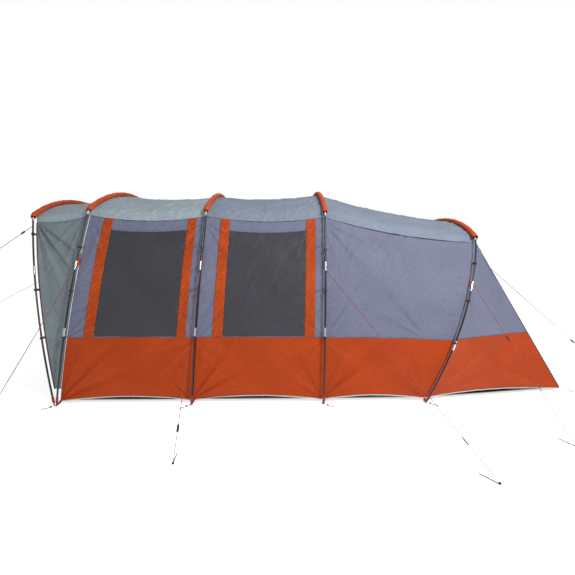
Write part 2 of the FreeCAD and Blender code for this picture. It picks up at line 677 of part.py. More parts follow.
def add_guyline(tag, start, peg, share):
    """Line from start to a peg on the ground, with its runner share of the way along."""
    way = peg - start
    flat = V(way.x, way.y, 0).normalize()
    end = peg + V(0, 0, S["peg_head"]) - way.normalize() * (S["peg_head"] + 1)
    lines.append(bar_between("guyline_" + tag, start, end, "sizes.guyline_radius"))
    guy_pegs.append(lying_peg("guy_peg_" + tag, peg, flat * -1, "peg_length"))
    block = doc.addObject("Part::Box", "runner_block_" + tag)
    bind(block, Length="sizes.runner_width", Width="sizes.runner_thickness",
         Height="sizes.runner_length")
    bore = doc.addObject("Part::Cylinder", "runner_bore_" + tag)
    bind(bore, Radius="sizes.guyline_radius + 0.4", Height="sizes.runner_length + 2")
    turn = FreeCAD.Rotation(V(0, 0, 1), end - start)
    spot = start + (end - start) * share
    corner_shift = turn.multVec(V(-S["runner_width"] / 2, -S["runner_thickness"] / 2, 0))
    block.Placement = FreeCAD.Placement(spot + corner_shift, turn)
    bore.Placement = FreeCAD.Placement(spot + turn.multVec(V(0, 0, -1)), turn)
    cut = doc.addObject("Part::Cut", "runner_" + tag)
    cut.Base, cut.Tool = block, bore
    keep("runner_" + tag, cut)
    runners[tag] = (spot, (end - start).normalize(), (end - start).Length)


def clear_of_leg(arch, cur, w, side, peg):
    """Start of a line that leaves the leg at height w, just clear of its fittings."""
    spot = arch.world(arch.on_leg(cur, w), side)
    along_leg = (arch.world(arch.on_leg(cur, w + 1), side) - spot).normalize()
    way = (peg - spot).normalize()
    room = S["ferrule_radius"] + S["guyline_radius"] + GAP
    return spot + way * (room / way.cross(along_leg).Length)


for tag, arch, w, along, out, share in LINES:
    cur = arch.curve()
    for word, side in SIDES:
        foot = arch.world(arch.on_leg(cur, 0.0), side)
        peg = V(foot.x + along, foot.y + side * out, 0)
        add_guyline("%s_%s" % (tag, word), clear_of_leg(arch, cur, w, side, peg), peg, share)
for word, side in SIDES:
    top_e = E.world(E.on_roof(E.curve(), 20.0), side)
    rear_peg = V(top_e.x + 1560, side * 833, 0)
    way = (rear_peg - top_e).normalize()
    add_guyline("rear_" + word, top_e + way * (S["sleeve_radius"] + 6), rear_peg, 0.8)
compound("guylines", lines)
compound("guy_pegs", guy_pegs)

doc.recompute()
for obj in doc.Objects:
    if "Invalid" in obj.State or "Error" in obj.State:
        raise RuntimeError("bad state: " + obj.Name)
os.makedirs("parts", exist_ok=True)
for name, obj in NODES.items():
    if obj.Shape.isNull() or not obj.Shape.isValid() or obj.Shape.Volume <= 0:
        raise RuntimeError("bad shape: %s %s" % (name, obj.Shape.isNull() or obj.Shape.Volume))
    obj.Shape.exportStep("parts/%s.step" % name)
for tag, (spot, way, length) in runners.items():
    print("runner", tag, [round(k, 2) for k in spot], [round(k, 5) for k in way], round(length, 1))
box = FreeCAD.BoundBox()
for name, obj in NODES.items():
    if not name.startswith(("guyline", "guy_peg", "runner")):
        box.add(obj.Shape.optimalBoundingBox())
print("box", box)
print("arches", [(a.name, round(a.x, 1)) for a in ARCHES], "rear", round(rear_x, 1))
print("nodes", len(NODES))
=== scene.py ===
import math

import bpy
import numpy as np
from mathutils import Matrix


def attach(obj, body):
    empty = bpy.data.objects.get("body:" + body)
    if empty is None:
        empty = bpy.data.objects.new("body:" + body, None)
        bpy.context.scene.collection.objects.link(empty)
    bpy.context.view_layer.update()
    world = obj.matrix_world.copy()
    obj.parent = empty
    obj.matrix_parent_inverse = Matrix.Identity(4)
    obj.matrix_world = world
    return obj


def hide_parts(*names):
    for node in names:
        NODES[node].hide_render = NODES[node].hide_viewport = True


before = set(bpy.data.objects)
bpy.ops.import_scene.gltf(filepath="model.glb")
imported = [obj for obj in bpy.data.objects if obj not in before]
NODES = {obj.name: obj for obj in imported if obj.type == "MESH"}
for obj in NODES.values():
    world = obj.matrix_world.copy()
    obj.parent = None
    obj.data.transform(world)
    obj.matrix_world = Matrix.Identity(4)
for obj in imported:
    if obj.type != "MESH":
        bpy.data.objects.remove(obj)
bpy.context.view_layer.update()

# -------------------- camera and light
FRONT_FOOT = -2.1252   # foot of the front arch, b, along X


CAMERA_SPOT = (FRONT_FOOT + 1.908, -4.678, 1.3475)
CAMERA_TURN = (0.0295, 0.0176, 0.0049)   # yaw, pitch and roll, radians
SENSOR_MM, LENS_MM, SHIFT_DOWN = 36.0, 22.30747826, 0.07165217
LAMP_AIM = (0.2, 0.0, 0.9)
LAMPS = (("key", (2.4, -4.6, 4.8), 1.3, 330),     # spot, size in metres, watts
         ("fill", (-5.0, -7.0, 3.0), 5.0, 25),
         ("top", (0.5, 1.0, 8.0), 6.0, 130))


def stand(obj, spot, side, top, ahead):
    """Links a camera or lamp and turns it to look ahead, its columns side, top and back."""
    turn = Matrix([[side[k], top[k], -ahead[k]] for k in range(3)])
    obj.matrix_world = Matrix.Translation(spot) @ turn.to_4x4()
    bpy.context.scene.collection.objects.link(obj)


def aim_camera():
    """Low camera near the long side, turned a little to the rear, its picture shifted down."""
    data = bpy.data.cameras.new("camera")
    data.sensor_width = SENSOR_MM
    data.lens = LENS_MM
    data.shift_y = -SHIFT_DOWN
    data.clip_end = 200.0
    cam = bpy.data.objects.new("camera", data)
    yaw, pitch, roll = CAMERA_TURN
    ahead = np.array([math.sin(yaw) * math.cos(pitch), math.cos(yaw) * math.cos(pitch),
                      math.sin(pitch)])
    right = np.array([math.cos(yaw), -math.sin(yaw), 0.0])
    up = np.cross(right, ahead)
    side = math.cos(roll) * right + math.sin(roll) * up
    top = -math.sin(roll) * right + math.cos(roll) * up
    stand(cam, CAMERA_SPOT, side, top, ahead)
    bpy.context.scene.camera = cam


def add(tree, kind, links=None, settings=None, **values):
    """One shader node: settings are its properties, values its sockets, links its wires."""
    n = tree.nodes.new("ShaderNode" + kind)
    for key, value in (settings or {}).items():
        setattr(n, key, value)
    for key, value in values.items():
        n.inputs[key.replace("_", " ")].default_value = value
    for key, source in (links or {}).items():
        tree.links.new(source, n.inputs[key])
    return n


def light_scene():
    """Even white studio seen behind the tent, softer for lighting, with three large soft lamps."""
    bpy.context.scene.view_settings.view_transform = "Standard"
    world = bpy.data.worlds.new("studio")
    world.use_nodes = True
    tree = world.node_tree
    sky = tree.nodes["Background"]
    sky.inputs[0].default_value = (0.96, 0.98, 1.0, 1.0)
    sky.inputs[1].default_value = 0.36
    seen = add(tree, "Background", Color=(1.0, 1.0, 1.0, 1.0), Strength=1.0)
    path = add(tree, "LightPath")
    mix = add(tree, "MixShader",
              {0: path.outputs["Is Camera Ray"], 1: sky.outputs[0], 2: seen.outputs[0]})
    tree.links.new(mix.outputs[0], tree.nodes["World Output"].inputs["Surface"])
    bpy.context.scene.world = world
    for name, spot, size, power in LAMPS:
        lamp = bpy.data.lights.new(name, "AREA")
        lamp.size = size
        lamp.energy = power
        aim = np.array(LAMP_AIM) - np.array(spot)
        aim /= np.linalg.norm(aim)
        side = np.cross(aim, [0, 0, 1.0])
        side /= np.linalg.norm(side)
        stand(bpy.data.objects.new(name, lamp), spot, side, np.cross(side, aim), aim)


aim_camera()
light_scene()


# -------------------- materials
WAVE = 0.314      # metres between the bands of a Wave texture whose scale is 1


def linear(text):
    """sRGB hex to linear red, green, blue, alpha."""
    c = np.array([int(text[k:k + 2], 16) / 255 for k in (1, 3, 5)])
    c = np.where(c <= 0.04045, c / 12.92, ((c + 0.055) / 1.055) ** 2.4)
    return (*c.tolist(), 1.0)


def blank(name, **shader):
    """Material with one Principled shader, its constants set on the shader's own sockets."""
    mat = bpy.data.materials.new(name)
    mat.use_nodes = True
    tree = mat.node_tree
    tree.nodes.clear()
    out = add(tree, "OutputMaterial")
    body = add(tree, "BsdfPrincipled", **shader)
    tree.links.new(body.outputs["BSDF"], out.inputs["Surface"])
    return mat, tree, body


def coated_polyester(name, light, dark, roughness=0.62, thread=0.004, crinkle=0.3, backlit=0.0,
                     heading=0.8, stretch=5.0):
    """Plain-woven polyester with a matt coating: fine thread lines, soft mottling, tiny creases.

    Real threads are 0.3 mm apart; they are drawn 4 mm apart so that the weave shows.
    Long thin creases, 60 mm apart, run along the heading in the cloth's own plane.
    """
    mat, tree, body = blank(name, Sheen_Weight=0.04, Specular_IOR_Level=0.18)
    uv = add(tree, "TexCoord").outputs["UV"]
    mottle = add(tree, "TexNoise", {"Vector": uv}, Scale=1 / 0.35, Detail=4.0)
    fine = add(tree, "TexNoise", {"Vector": uv}, Scale=1 / 0.02, Detail=3.0)
    blend = add(tree, "Math", {0: mottle.outputs["Fac"], 1: fine.outputs["Fac"]},
                {"operation": "MULTIPLY"})
    ramp = add(tree, "ValToRGB", {"Fac": blend.outputs[0]})
    ramp.color_ramp.elements[0].position = 0.12
    ramp.color_ramp.elements[0].color = linear(dark)
    ramp.color_ramp.elements[1].position = 0.42
    ramp.color_ramp.elements[1].color = linear(light)
    tree.links.new(ramp.outputs["Color"], body.inputs["Base Color"])
    warp = add(tree, "TexWave", {"Vector": uv}, {"bands_direction": "X"},
               Scale=WAVE / thread, Distortion=0.4, Detail=1.0)
    weft = add(tree, "TexWave", {"Vector": uv}, {"bands_direction": "Y"},
               Scale=WAVE / thread, Distortion=0.4, Detail=1.0)
    weave = add(tree, "Math", {0: warp.outputs["Fac"], 1: weft.outputs["Fac"]},
                {"operation": "ADD"})
    crease = add(tree, "TexNoise", {"Vector": uv}, Scale=1 / 0.09, Detail=6.0,
                 Roughness=0.55, Distortion=0.6)
    first = add(tree, "Bump", {"Height": weave.outputs[0]}, Strength=0.08, Distance=0.0006)
    second = add(tree, "Bump", {"Height": crease.outputs["Fac"],
                                          "Normal": first.outputs["Normal"]},
                 Strength=crinkle, Distance=0.02)
    drawn = add(tree, "Mapping", {"Vector": uv}, {"vector_type": "TEXTURE"})
    drawn.inputs["Rotation"].default_value = (0.0, 0.0, heading)
    drawn.inputs["Scale"].default_value = (stretch, 1.0, 1.0)
    ridge = add(tree, "TexNoise", {"Vector": drawn.outputs["Vector"]},
                {"noise_type": "RIDGED_MULTIFRACTAL"}, Scale=1 / 0.12, Detail=2.0, Distortion=0.5)
    third = add(tree, "Bump", {"Height": ridge.outputs[0],
                                         "Normal": second.outputs["Normal"]},
                Strength=crinkle, Distance=0.012)
    tree.links.new(third.outputs["Normal"], body.inputs["Normal"])
    rough = add(tree, "MapRange", {"Value": fine.outputs["Fac"]},
                To_Min=roughness - 0.06, To_Max=roughness + 0.08)
    tree.links.new(rough.outputs["Result"], body.inputs["Roughness"])
    if backlit:
        glow = add(tree, "BsdfTranslucent", {"Color": ramp.outputs["Color"]})
        mixed = add(tree, "MixShader",
                    {1: body.outputs["BSDF"], 2: glow.outputs["BSDF"]}, Fac=backlit)
        tree.links.new(mixed.outputs[0], tree.nodes["Material Output"].inputs["Surface"])
    return mat


def plain_finish(name, colour, roughness, metallic=0.0, grain=0.0005, depth=0.0002, vary=0.06,
                 stretch=(1.0, 1.0, 1.0)):
    """Hard or woven finish with a grain of real size: colour and roughness vary with the grain."""
    mat, tree, body = blank(name, Metallic=metallic)
    place = add(tree, "TexCoord").outputs["Object"]
    turned = add(tree, "Mapping", {"Vector": place})
    turned.inputs["Scale"].default_value = stretch
    speck = add(tree, "TexNoise", {"Vector": turned.outputs["Vector"]},
                Scale=1 / grain, Detail=3.0)
    tone = add(tree, "MixRGB", {"Fac": speck.outputs["Fac"]})
    base = np.array(linear(colour))
    tone.inputs[1].default_value = (*(base[:3] * (1 - 2.5 * vary)).tolist(), 1.0)
    tone.inputs[2].default_value = (*np.minimum(base[:3] * (1 + 2.5 * vary), 1).tolist(), 1.0)
    tree.links.new(tone.outputs[0], body.inputs["Base Color"])
    rough = add(tree, "MapRange", {"Value": speck.outputs["Fac"]},
                To_Min=max(roughness - 0.08, 0.02), To_Max=roughness + 0.08)
    tree.links.new(rough.outputs["Result"], body.inputs["Roughness"])
    bump = add(tree, "Bump", {"Height": speck.outputs["Fac"]}, Strength=0.3,
               Distance=depth)
    tree.links.new(bump.outputs["Normal"], body.inputs["Normal"])
    return mat


def banded(name, colour, other, step, roughness, axis="X", depth=0.0008):
    """Ribbed strip such as webbing, braid or zip coil: even bands across its length."""
    mat, tree, body = blank(name, Roughness=roughness, Sheen_Weight=0.2)
    uv = add(tree, "TexCoord").outputs["UV"]
    rib = add(tree, "TexWave", {"Vector": uv}, {"bands_direction": axis},
              Scale=WAVE / step, Distortion=0.6, Detail=1.0)
    tone = add(tree, "MixRGB", {"Fac": rib.outputs["Fac"]})
    tone.inputs[1].default_value = linear(colour)
    tone.inputs[2].default_value = linear(other)
    tree.links.new(tone.outputs[0], body.inputs["Base Color"])
    bump = add(tree, "Bump", {"Height": rib.outputs["Fac"]}, Strength=0.5, Distance=depth)
    tree.links.new(bump.outputs["Normal"], body.inputs["Normal"])
    return mat


ORANGE = coated_polyester("orange coated polyester", "#C84E14", "#A63A0A", crinkle=0.8)
BAND = coated_polyester("orange window band polyester", "#AE440C", "#8B3204", crinkle=0.9)
RUST = coated_polyester("rust skirt polyester", "#A03800", "#8E2E00", crinkle=0.3, heading=0.35)
WALL = coated_polyester("lavender grey wall polyester", "#6B6E82", "#5F6276", backlit=0.05,
                        crinkle=0.7, heading=0.7)
SAGE = coated_polyester("pale sage roof polyester", "#97A3A7", "#84919A", roughness=0.55,
                        backlit=0.08, crinkle=1.0, heading=-0.9, stretch=7.0)
SLATE = coated_polyester("slate grey roof polyester", "#7B8593", "#6D7686", roughness=0.55,
                         backlit=0.06, crinkle=1.0, heading=-0.9, stretch=7.0)
PORCH = coated_polyester("sage grey porch polyester", "#788387", "#69747A", roughness=0.58,
                         backlit=0.1, crinkle=0.8, heading=0.5)
FRONT = coated_polyester("grey front wall polyester", "#7E8398", "#70758A")
FLOOR_CLOTH = coated_polyester("black groundsheet laminate", "#2B2B2E", "#1D1D20", roughness=0.5)
WINDOW = coated_polyester("charcoal window film", "#3A3A40", "#323237", roughness=0.55,
                          crinkle=0.4, heading=0.6)
BLACK_TUBE = plain_finish("pultruded fibreglass tube", "#17171A", 0.34, grain=0.004, vary=0.1,
                          stretch=(1.0, 1.0, 0.1))
ALLOY = plain_finish("drawn aluminium fittings", "#D9DCDF", 0.24, metallic=1.0, grain=0.003,
                     stretch=(1.0, 1.0, 0.2))
RED_STEEL = plain_finish("red painted peg steel", "#6E1C18", 0.45, grain=0.004, vary=0.1)
DARK_STEEL = plain_finish("black painted peg steel", "#2A2A2C", 0.4, grain=0.004, vary=0.1)
HOOK = plain_finish("moulded black acetal", "#141416", 0.42, grain=0.002)
WEBBING = banded("red polyester webbing", "#8E1A14", "#6B100C", 0.004, 0.7)
CORD = banded("brick red braided cord", "#8C322C", "#64261F", 0.012, 0.75)
PIPING = banded("pale grey hem piping", "#B9B9B4", "#9B9B97", 0.006, 0.6)
# Dark seam tape colour for the real seams, also used for painted shade: the shadow line at the
# window heads and the crease shade strips.
SEAM_TAPE_AND_SHADE = banded("dark seam tape and painted shade", "#5A5D6C", "#474A58", 0.006, 0.7)
MAROON = banded("maroon edge binding", "#5E2A2C", "#40191B", 0.005, 0.7)
COIL = banded("black zip coil", "#1A1A1C", "#0C0C0D", 0.006, 0.45, depth=0.0015)


# -------------------- meshes
def lengths(grid, axis):
    """Running length along one direction of a grid of points."""
    step = np.linalg.norm(np.diff(grid, axis=axis), axis=2)
    pad = [(0, 0), (0, 0)]
    pad[axis] = (1, 0)
    return np.pad(np.cumsum(step, axis=axis), pad)


def piece(name, grids, material, body="tent", thick=0.0012, replaces=None, slot=None,
          closed=False):
    """A mesh from one or more grids of points (rows, columns, xyz) with UVs in metres.

    Each cell is a quad; a closed grid joins its last column to its first.
    """
    verts, faces, uvs, at = [], [], [], 0
    for grid in grids:
        rows, cols = grid.shape[:2]
        ids = np.arange(rows * cols).reshape(rows, cols) + at
        u, v = lengths(grid, 0), lengths(grid, 1)
        if closed:
            ids = np.hstack([ids, ids[:, :1]])
            ring = v[:, -1:] + np.linalg.norm(grid[:, :1] - grid[:, -1:], axis=2)
            u, v = np.hstack([u, u[:, :1]]), np.hstack([v, ring])
        quads = np.stack([ids[:-1, :-1], ids[1:, :-1], ids[1:, 1:], ids[:-1, 1:]], -1)
        flat = np.stack([u, v], -1)
        spots = np.stack([flat[:-1, :-1], flat[1:, :-1], flat[1:, 1:], flat[:-1, 1:]], 2)
        verts.append(grid.reshape(-1, 3))
        faces.append(quads.reshape(-1, 4))
        uvs.append(spots.reshape(-1, 2))
        at += rows * cols
    verts, faces, uvs = (np.concatenate(k) for k in (verts, faces, uvs))
    mesh = bpy.data.meshes.new(name)
    mesh.vertices.add(len(verts))
    mesh.vertices.foreach_set("co", verts.astype(np.float32).ravel())
    mesh.loops.add(faces.size)
    mesh.loops.foreach_set("vertex_index", faces.astype(np.int32).ravel())
    mesh.polygons.add(len(faces))
    mesh.polygons.foreach_set("loop_start", np.arange(0, faces.size, 4, dtype=np.int32))
    mesh.polygons.foreach_set("use_smooth", np.ones(len(faces), bool))
    mesh.uv_layers.new(name="metres").data.foreach_set("uv", uvs.astype(np.float32).ravel())
    mesh.update(calc_edges=True)
    mesh.validate()
    mesh.materials.append(material)
    obj = bpy.data.objects.new(name, mesh)
    bpy.context.scene.collection.objects.link(obj)
    if thick:
        shell = obj.modifiers.new("thickness", "SOLIDIFY")
        shell.thickness = thick
        shell.offset = 0.0
    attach(obj, body)
    if replaces:
        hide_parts(replaces)
    return obj


def cloth(name, grid, material, held="stretched", rests_on=(), **more):
    """A cloth piece: a mesh made from one grid of points."""
    obj = piece(name, [grid], material, **more)
    return obj


def normals(grid, axis, sign=1):
    """Unit normal at each point of a grid, turned so that their mean has the sign on the axis."""
    du, dv = np.gradient(grid, axis=0), np.gradient(grid, axis=1)
    n = np.cross(du, dv)
    n = n / np.maximum(np.linalg.norm(n, axis=2, keepdims=True), 1e-9)
    return n * np.sign((n[..., axis] * sign).mean())


def running(line):
    """Running length at each point of a line, from zero."""
    return np.concatenate([[0], np.cumsum(np.linalg.norm(np.diff(line, axis=0), axis=1))])


def spots_on(line, s):
    """Points of a plane line at the running lengths s."""
    run = running(line)
    return np.stack([np.interp(s, run, line[:, 0]), np.interp(s, run, line[:, 1])], -1)


def tube(path, radius, sides=12, squash=1.0, up=None):
    """Ring profile carried along a path: circle of the radius across the path's direction."""
    path = np.asarray(path, float)
    way = np.gradient(path, axis=0)
    way /= np.linalg.norm(way, axis=1, keepdims=True)
    ref = np.tile(np.asarray(up if up is not None else (0.0, 0.0, 1.0)), (len(path), 1))
    a = np.cross(way, ref)
    bad = np.linalg.norm(a, axis=1) < 1e-3
    a[bad] = np.cross(way[bad], [0.0, 1.0, 0.0])
    a /= np.linalg.norm(a, axis=1, keepdims=True)
    b = np.cross(way, a)
    ang = np.linspace(0, 2 * np.pi, sides, endpoint=False)
    r = np.broadcast_to(np.asarray(radius, float), (len(path),))
    ring = (np.cos(ang)[None, :, None] * a[:, None]
            + squash * np.sin(ang)[None, :, None] * b[:, None])
    return path[:, None] + r[:, None, None] * ring


def ribbon(path, across, width, lift=0.0):
    """Flat strip of the width laid along a path, its width along the across direction."""
    path, across = np.asarray(path, float), np.asarray(across, float)
    across = across / np.linalg.norm(across, axis=-1, keepdims=True)
    k = np.linspace(-0.5, 0.5, 4)[None, :, None] * width
    way = np.gradient(path, axis=0)
    out = np.cross(way, np.broadcast_to(across, path.shape))
    out /= np.maximum(np.linalg.norm(out, axis=1, keepdims=True), 1e-9)
    return path[:, None] + k * np.broadcast_to(across, path.shape)[:, None] + lift * out[:, None]


# -------------------- arches
HANG, DROP = 0.05, 0.024      # cloth hangs this far inside the legs and under the roof
SHOULDER_UP, LEG_MID_UP = 1.777, 1.275      # heights that shape an arch of scale 1
LEG_POINTS = 160


class Arch:
    """One pole arch in its own plane: u across from the middle, w up along the lean."""

    def __init__(self, name, x, lean, scale, half, top, insets=(0.429, 0.242)):
        self.name, self.x, self.lean = name, x, math.radians(lean)
        self.scale, self.half = scale, half
        inner, shoulder = half - insets[0] * scale, SHOULDER_UP * scale
        middle = (half - insets[1] * scale, LEG_MID_UP * scale)
        self.leg = self.circle((half, 0.0), middle, (inner, shoulder))
        self.roof = self.circle((-inner, shoulder), (0.0, top * scale), (inner, shoulder))

    @staticmethod
    def circle(a, b, c):
        """Centre and radius of the circle through three points."""
        m = 2 * np.array([[b[0] - a[0], b[1] - a[1]], [c[0] - a[0], c[1] - a[1]]])
        q = np.array([b[0] ** 2 + b[1] ** 2 - a[0] ** 2 - a[1] ** 2,
                      c[0] ** 2 + c[1] ** 2 - a[0] ** 2 - a[1] ** 2])
        u, w = np.linalg.solve(m, q)
        return u, w, math.hypot(a[0] - u, a[1] - w)

    def outline(self, hang=HANG, drop=DROP, bend=0.09, low=0.0):
        """Dense (u, w) points of one half from height low on the leg up to the ridge.

        Leg circle, elbow circle tangent to both, roof circle, all moved in by hang or drop.
        """
        lu, lw, lr = self.leg
        ru, rw, rr = self.roof
        lr, rr = lr - hang, rr - drop
        ra, rb, gap = lr - bend, rr - bend, math.hypot(ru - lu, rw - lw)
        along = (ra ** 2 - rb ** 2 + gap ** 2) / (2 * gap)
        off = math.sqrt(max(ra ** 2 - along ** 2, 0.0))
        eu, ew = (ru - lu) / gap, (rw - lw) / gap
        cu, cw = max([(lu + along * eu - k * off * ew, lw + along * ew + k * off * eu)
                      for k in (1, -1)], key=sum)
        low_pt = (lu + (cu - lu) * lr / ra, lw + (cw - lw) * lr / ra)
        high_pt = (ru + (cu - ru) * rr / rb, rw + (cw - rw) * rr / rb)
        w = np.linspace(low, low_pt[1], LEG_POINTS)
        leg = np.stack([lu + np.sqrt(lr ** 2 - (w - lw) ** 2), w], 1)
        a0 = math.atan2(low_pt[1] - cw, low_pt[0] - cu)
        a1 = math.atan2(high_pt[1] - cw, high_pt[0] - cu)
        ang = np.linspace(a0, a1, 40)[1:]
        elbow = np.stack([cu + bend * np.cos(ang), cw + bend * np.sin(ang)], 1)
        u = np.linspace(high_pt[0], 0.0, 160)[1:]
        roof = np.stack([u, rw + np.sqrt(rr ** 2 - u ** 2)], 1)
        return np.concatenate([leg, elbow, roof]), len(leg) - 1, len(leg) + len(elbow) - 1

    def world(self, points, side=1):
        """Arch-plane points to tent axes; side 1 is far (+Y), -1 near (-Y)."""
        u, w = points[..., 0], points[..., 1]
        return np.stack([self.x + w * math.sin(self.lean), side * u, w * math.cos(self.lean)], -1)

    def at_height(self, w, side, hang=HANG, drop=DROP):
        """Cloth point on the leg at heights w."""
        line, k, _ = self.outline(hang, drop)
        return self.world(np.stack([np.interp(w, line[:k + 1, 1], line[:k + 1, 0]), w], -1), side)

    def from_ridge(self, length):
        """Cloth points at signed arc lengths from the ridge: negative is the near side."""
        line, _, _ = self.outline()
        out = self.world(spots_on(line[::-1], np.abs(length)))
        out[..., 1] *= np.sign(length)
        return out

    def ridge_to(self, w):
        """Arc length from the ridge down to height w on the leg."""
        line, _, _ = self.outline()
        run = running(line[::-1])
        return float(np.interp(w, line[:LEG_POINTS, 1], run[::-1][:LEG_POINTS]))


X_B = FRONT_FOOT
A = Arch("a", X_B - 0.026, -16.3, 0.998, 1.485, 2.052)
B = Arch("b", X_B, 1.0, 1.0, 1.5, 2.064)
C = Arch("c", X_B + 1.162, 1.0, 1.0, 1.5, 2.064)
D = Arch("d", X_B + 2.330, 2.1, 1.0, 1.5, 2.100)
E = Arch("e", X_B + 3.251, 23.8, 0.932, 1.486, 2.084, (0.390, 0.082))
REAR_X, REAR_Y = E.x + 1.458, 1.236      # corner of the rear on the ground
SEAM, SKIRT = 1.712, 0.565               # heights of the roof seam and the skirt seam
SIDES = (("near", -1), ("far", 1))
BAYS = (("bc", B, C), ("cd", C, D), ("de", D, E))


# -------------------- folds
def fan(a, b, corner, heading, spread, count, reach, size, phase=0.0):
    """Folds that fan out of a corner: cosine of the bearing, fading with distance."""
    da, db = a - corner[0], b - corner[1]
    r, th = np.hypot(da, db), np.arctan2(db, da)
    off = (th - heading + np.pi) % (2 * np.pi) - np.pi
    ridge = np.cos(count * off + phase) + 0.35 * np.cos(2.3 * count * off + 1.7 * phase)
    return size * ridge * np.exp(-(off / spread) ** 2) * (r / reach) * np.exp(1 - r / reach)


def fans(a, b, rows):
    """Sum of the fans whose settings the rows give."""
    return sum(fan(a, b, *row) for row in rows)


def pleats(a, b, spot, heading, step, reach_along, reach_across, size, phase=0.0):
    """Parallel folds round a spot: cosine across the heading under a soft bell."""
    da, db = a - spot[0], b - spot[1]
    along = da * math.cos(heading) + db * math.sin(heading)
    across = -da * math.sin(heading) + db * math.cos(heading)
    bell = np.exp(-(along / reach_along) ** 2 - (across / reach_across) ** 2)
    return size * np.cos(2 * np.pi * across / step + phase) * bell


def crumple(a, b, size, short=0.08, long=0.35, count=26, seed=1):
    """Sum of seeded sine waves of random bearing with wavelengths from short to long."""
    rng = np.random.default_rng(seed)
    out = np.zeros_like(a)
    for _ in range(count):
        wave = rng.uniform(short, long)
        ang, ph = rng.uniform(0, np.pi), rng.uniform(0, 2 * np.pi)
        run = a * math.cos(ang) + b * math.sin(ang)
        out += np.sin(2 * np.pi * run / wave + ph) * wave / long
    return size * out / math.sqrt(count)


def creases(a, b, heading, count, size, seed, turn=0.35, width=0.011):
    """Short straight creases: bell-shaped ridges and hollows at seeded spots.

    Most lie along the heading, give or take the turn.
    """
    rng = np.random.default_rng(seed)
    out = np.zeros_like(a)
    for _ in range(count):
        ca, cb = rng.uniform(a.min(), a.max()), rng.uniform(b.min(), b.max())
        ang, reach = heading + rng.normal(0, turn), rng.uniform(0.06, 0.26)
        along = (a - ca) * math.cos(ang) + (b - cb) * math.sin(ang)
        across = (b - cb) * math.cos(ang) - (a - ca) * math.sin(ang)
        shape = np.exp(-(across / width) ** 2 - (along / reach) ** 2)
        out += rng.choice((-1, 1)) * rng.uniform(0.4, 1) * shape
    return size * out


def edge_fade(v, width):
    """Zero at both ends of 0..1 and one in the middle, rising over the width."""
    k = np.clip(np.minimum(v, 1 - v) / width, 0, 1)
    return k * k * (3 - 2 * k)


def bell(v):
    """Four v (1 - v): the sag of a taut edge between two supports."""
    return 4 * v * (1 - v)


# -------------------- walls and roofs
def side_grid(first, second, side, z0, z1, rows, cols, v0=0.0, v1=1.0, off=0.0,
              dip0=0.0, dip1=0.0, sag=0.02, fold=None):
    """Cloth between two arches: straight lines from leg to leg, pulled in by the sag.

    Rows run up the wall from z0 to z1, columns along the bay; dip0 and dip1 move the
    lower and upper edge at mid bay; fold(up, along, v) adds wrinkles outwards.
    """
    t = np.linspace(0, 1, rows)[:, None]
    v = np.linspace(v0, v1, cols)[None, :]

    def heights(arch):
        lo = z0 / math.cos(arch.lean) if z0 < 1.0 else z0 * arch.scale
        hi = z1 / math.cos(arch.lean) if z1 < 1.0 else z1 * arch.scale
        return (lo + dip0 * bell(v)) * (1 - t) + (hi + dip1 * bell(v)) * t

    p, q = first.at_height(heights(first), side), second.at_height(heights(second), side)
    grid = p * (1 - v)[..., None] + q * v[..., None]
    n = normals(grid, 1, side)
    up = lengths(grid, 0)
    along = lengths(grid, 1) + v0 * np.linalg.norm(second.x - first.x)
    push = off - sag * bell(v) * np.ones_like(t)
    if fold is not None:
        push = push + fold(up, along, np.broadcast_to(v, up.shape))
    return grid + n * push[..., None]


def roof_grid(first, second, rows, cols, sag=0.03, fold=None, dip=-0.05):
    """Roof cloth over the ridge between two arches, sagging between them."""
    tau = np.linspace(-1, 1, rows)[:, None]
    v = np.linspace(0, 1, cols)[None, :]
    la, lb = (arch.ridge_to(SEAM * arch.scale) for arch in (first, second))
    p = first.from_ridge(tau * (la - dip * bell(v)))
    q = second.from_ridge(tau * (lb - dip * bell(v)))
    grid = p * (1 - v)[..., None] + q * v[..., None]
    n = normals(grid, 2)
    a, b = lengths(grid, 0), lengths(grid, 1)
    push = -sag * bell(v) * (0.35 + 0.65 * (1 - np.abs(tau) ** 3))
    if fold is not None:
        push = push + fold(a, b, np.broadcast_to(v, a.shape))
    return grid + n * push[..., None]


def sleeve_gathers(a, v, length, size, seed):
    """Short gathers that start at each sleeve and die out into the panel."""
    rng = np.random.default_rng(seed)
    out = np.zeros_like(a)
    for end in (0, 1):
        dist = (v if end == 0 else 1 - v) * length
        for _ in range(7):
            wave, ph, reach = rng.uniform(0.05, 0.14), rng.uniform(0, 6.28), rng.uniform(0.08, 0.3)
            start = np.clip(dist / 0.02, 0, 1)
            out += np.sin(2 * np.pi * a / wave + ph) * np.exp(-dist / reach) * start
    return size * out / 3


def wall_fold(seed, length, height, calm=None):
    """Wrinkles of a wall bay: fans from the four held corners, gathers and fine crumple.

    Between the two shares given by calm the cloth is kept flat by the window.
    """
    def fold(up, along, v):
        fade = edge_fade(v, 0.03)
        out = fans(up, along, (((0.0, 0.0), 0.9, 0.55, 13, 0.22, 0.006, seed),
                               ((0.0, length), -0.9, 0.55, 12, 0.22, 0.006, seed * 1.7),
                               ((height, 0.0), 2.3, 0.5, 12, 0.25, 0.007, seed * 0.7),
                               ((height, length), -2.3, 0.5, 13, 0.25, 0.007, seed * 2.1)))
        if calm:
            inside = np.clip((v - calm[0]) / 0.06, 0, 1) * np.clip((calm[1] - v) / 0.06, 0, 1)
            out = out * (1 - 0.8 * inside)
        out = out + crumple(up, along, 0.0020, seed=seed)
        crease = creases(up, along, 0.75, 70, 0.0046, seed + 9)
        if calm:
            crease = crease * (1 - 0.6 * inside)
        out = out + crease + sleeve_gathers(up, v, length, 0.0034, seed + 40)
        return out * fade
    return fold


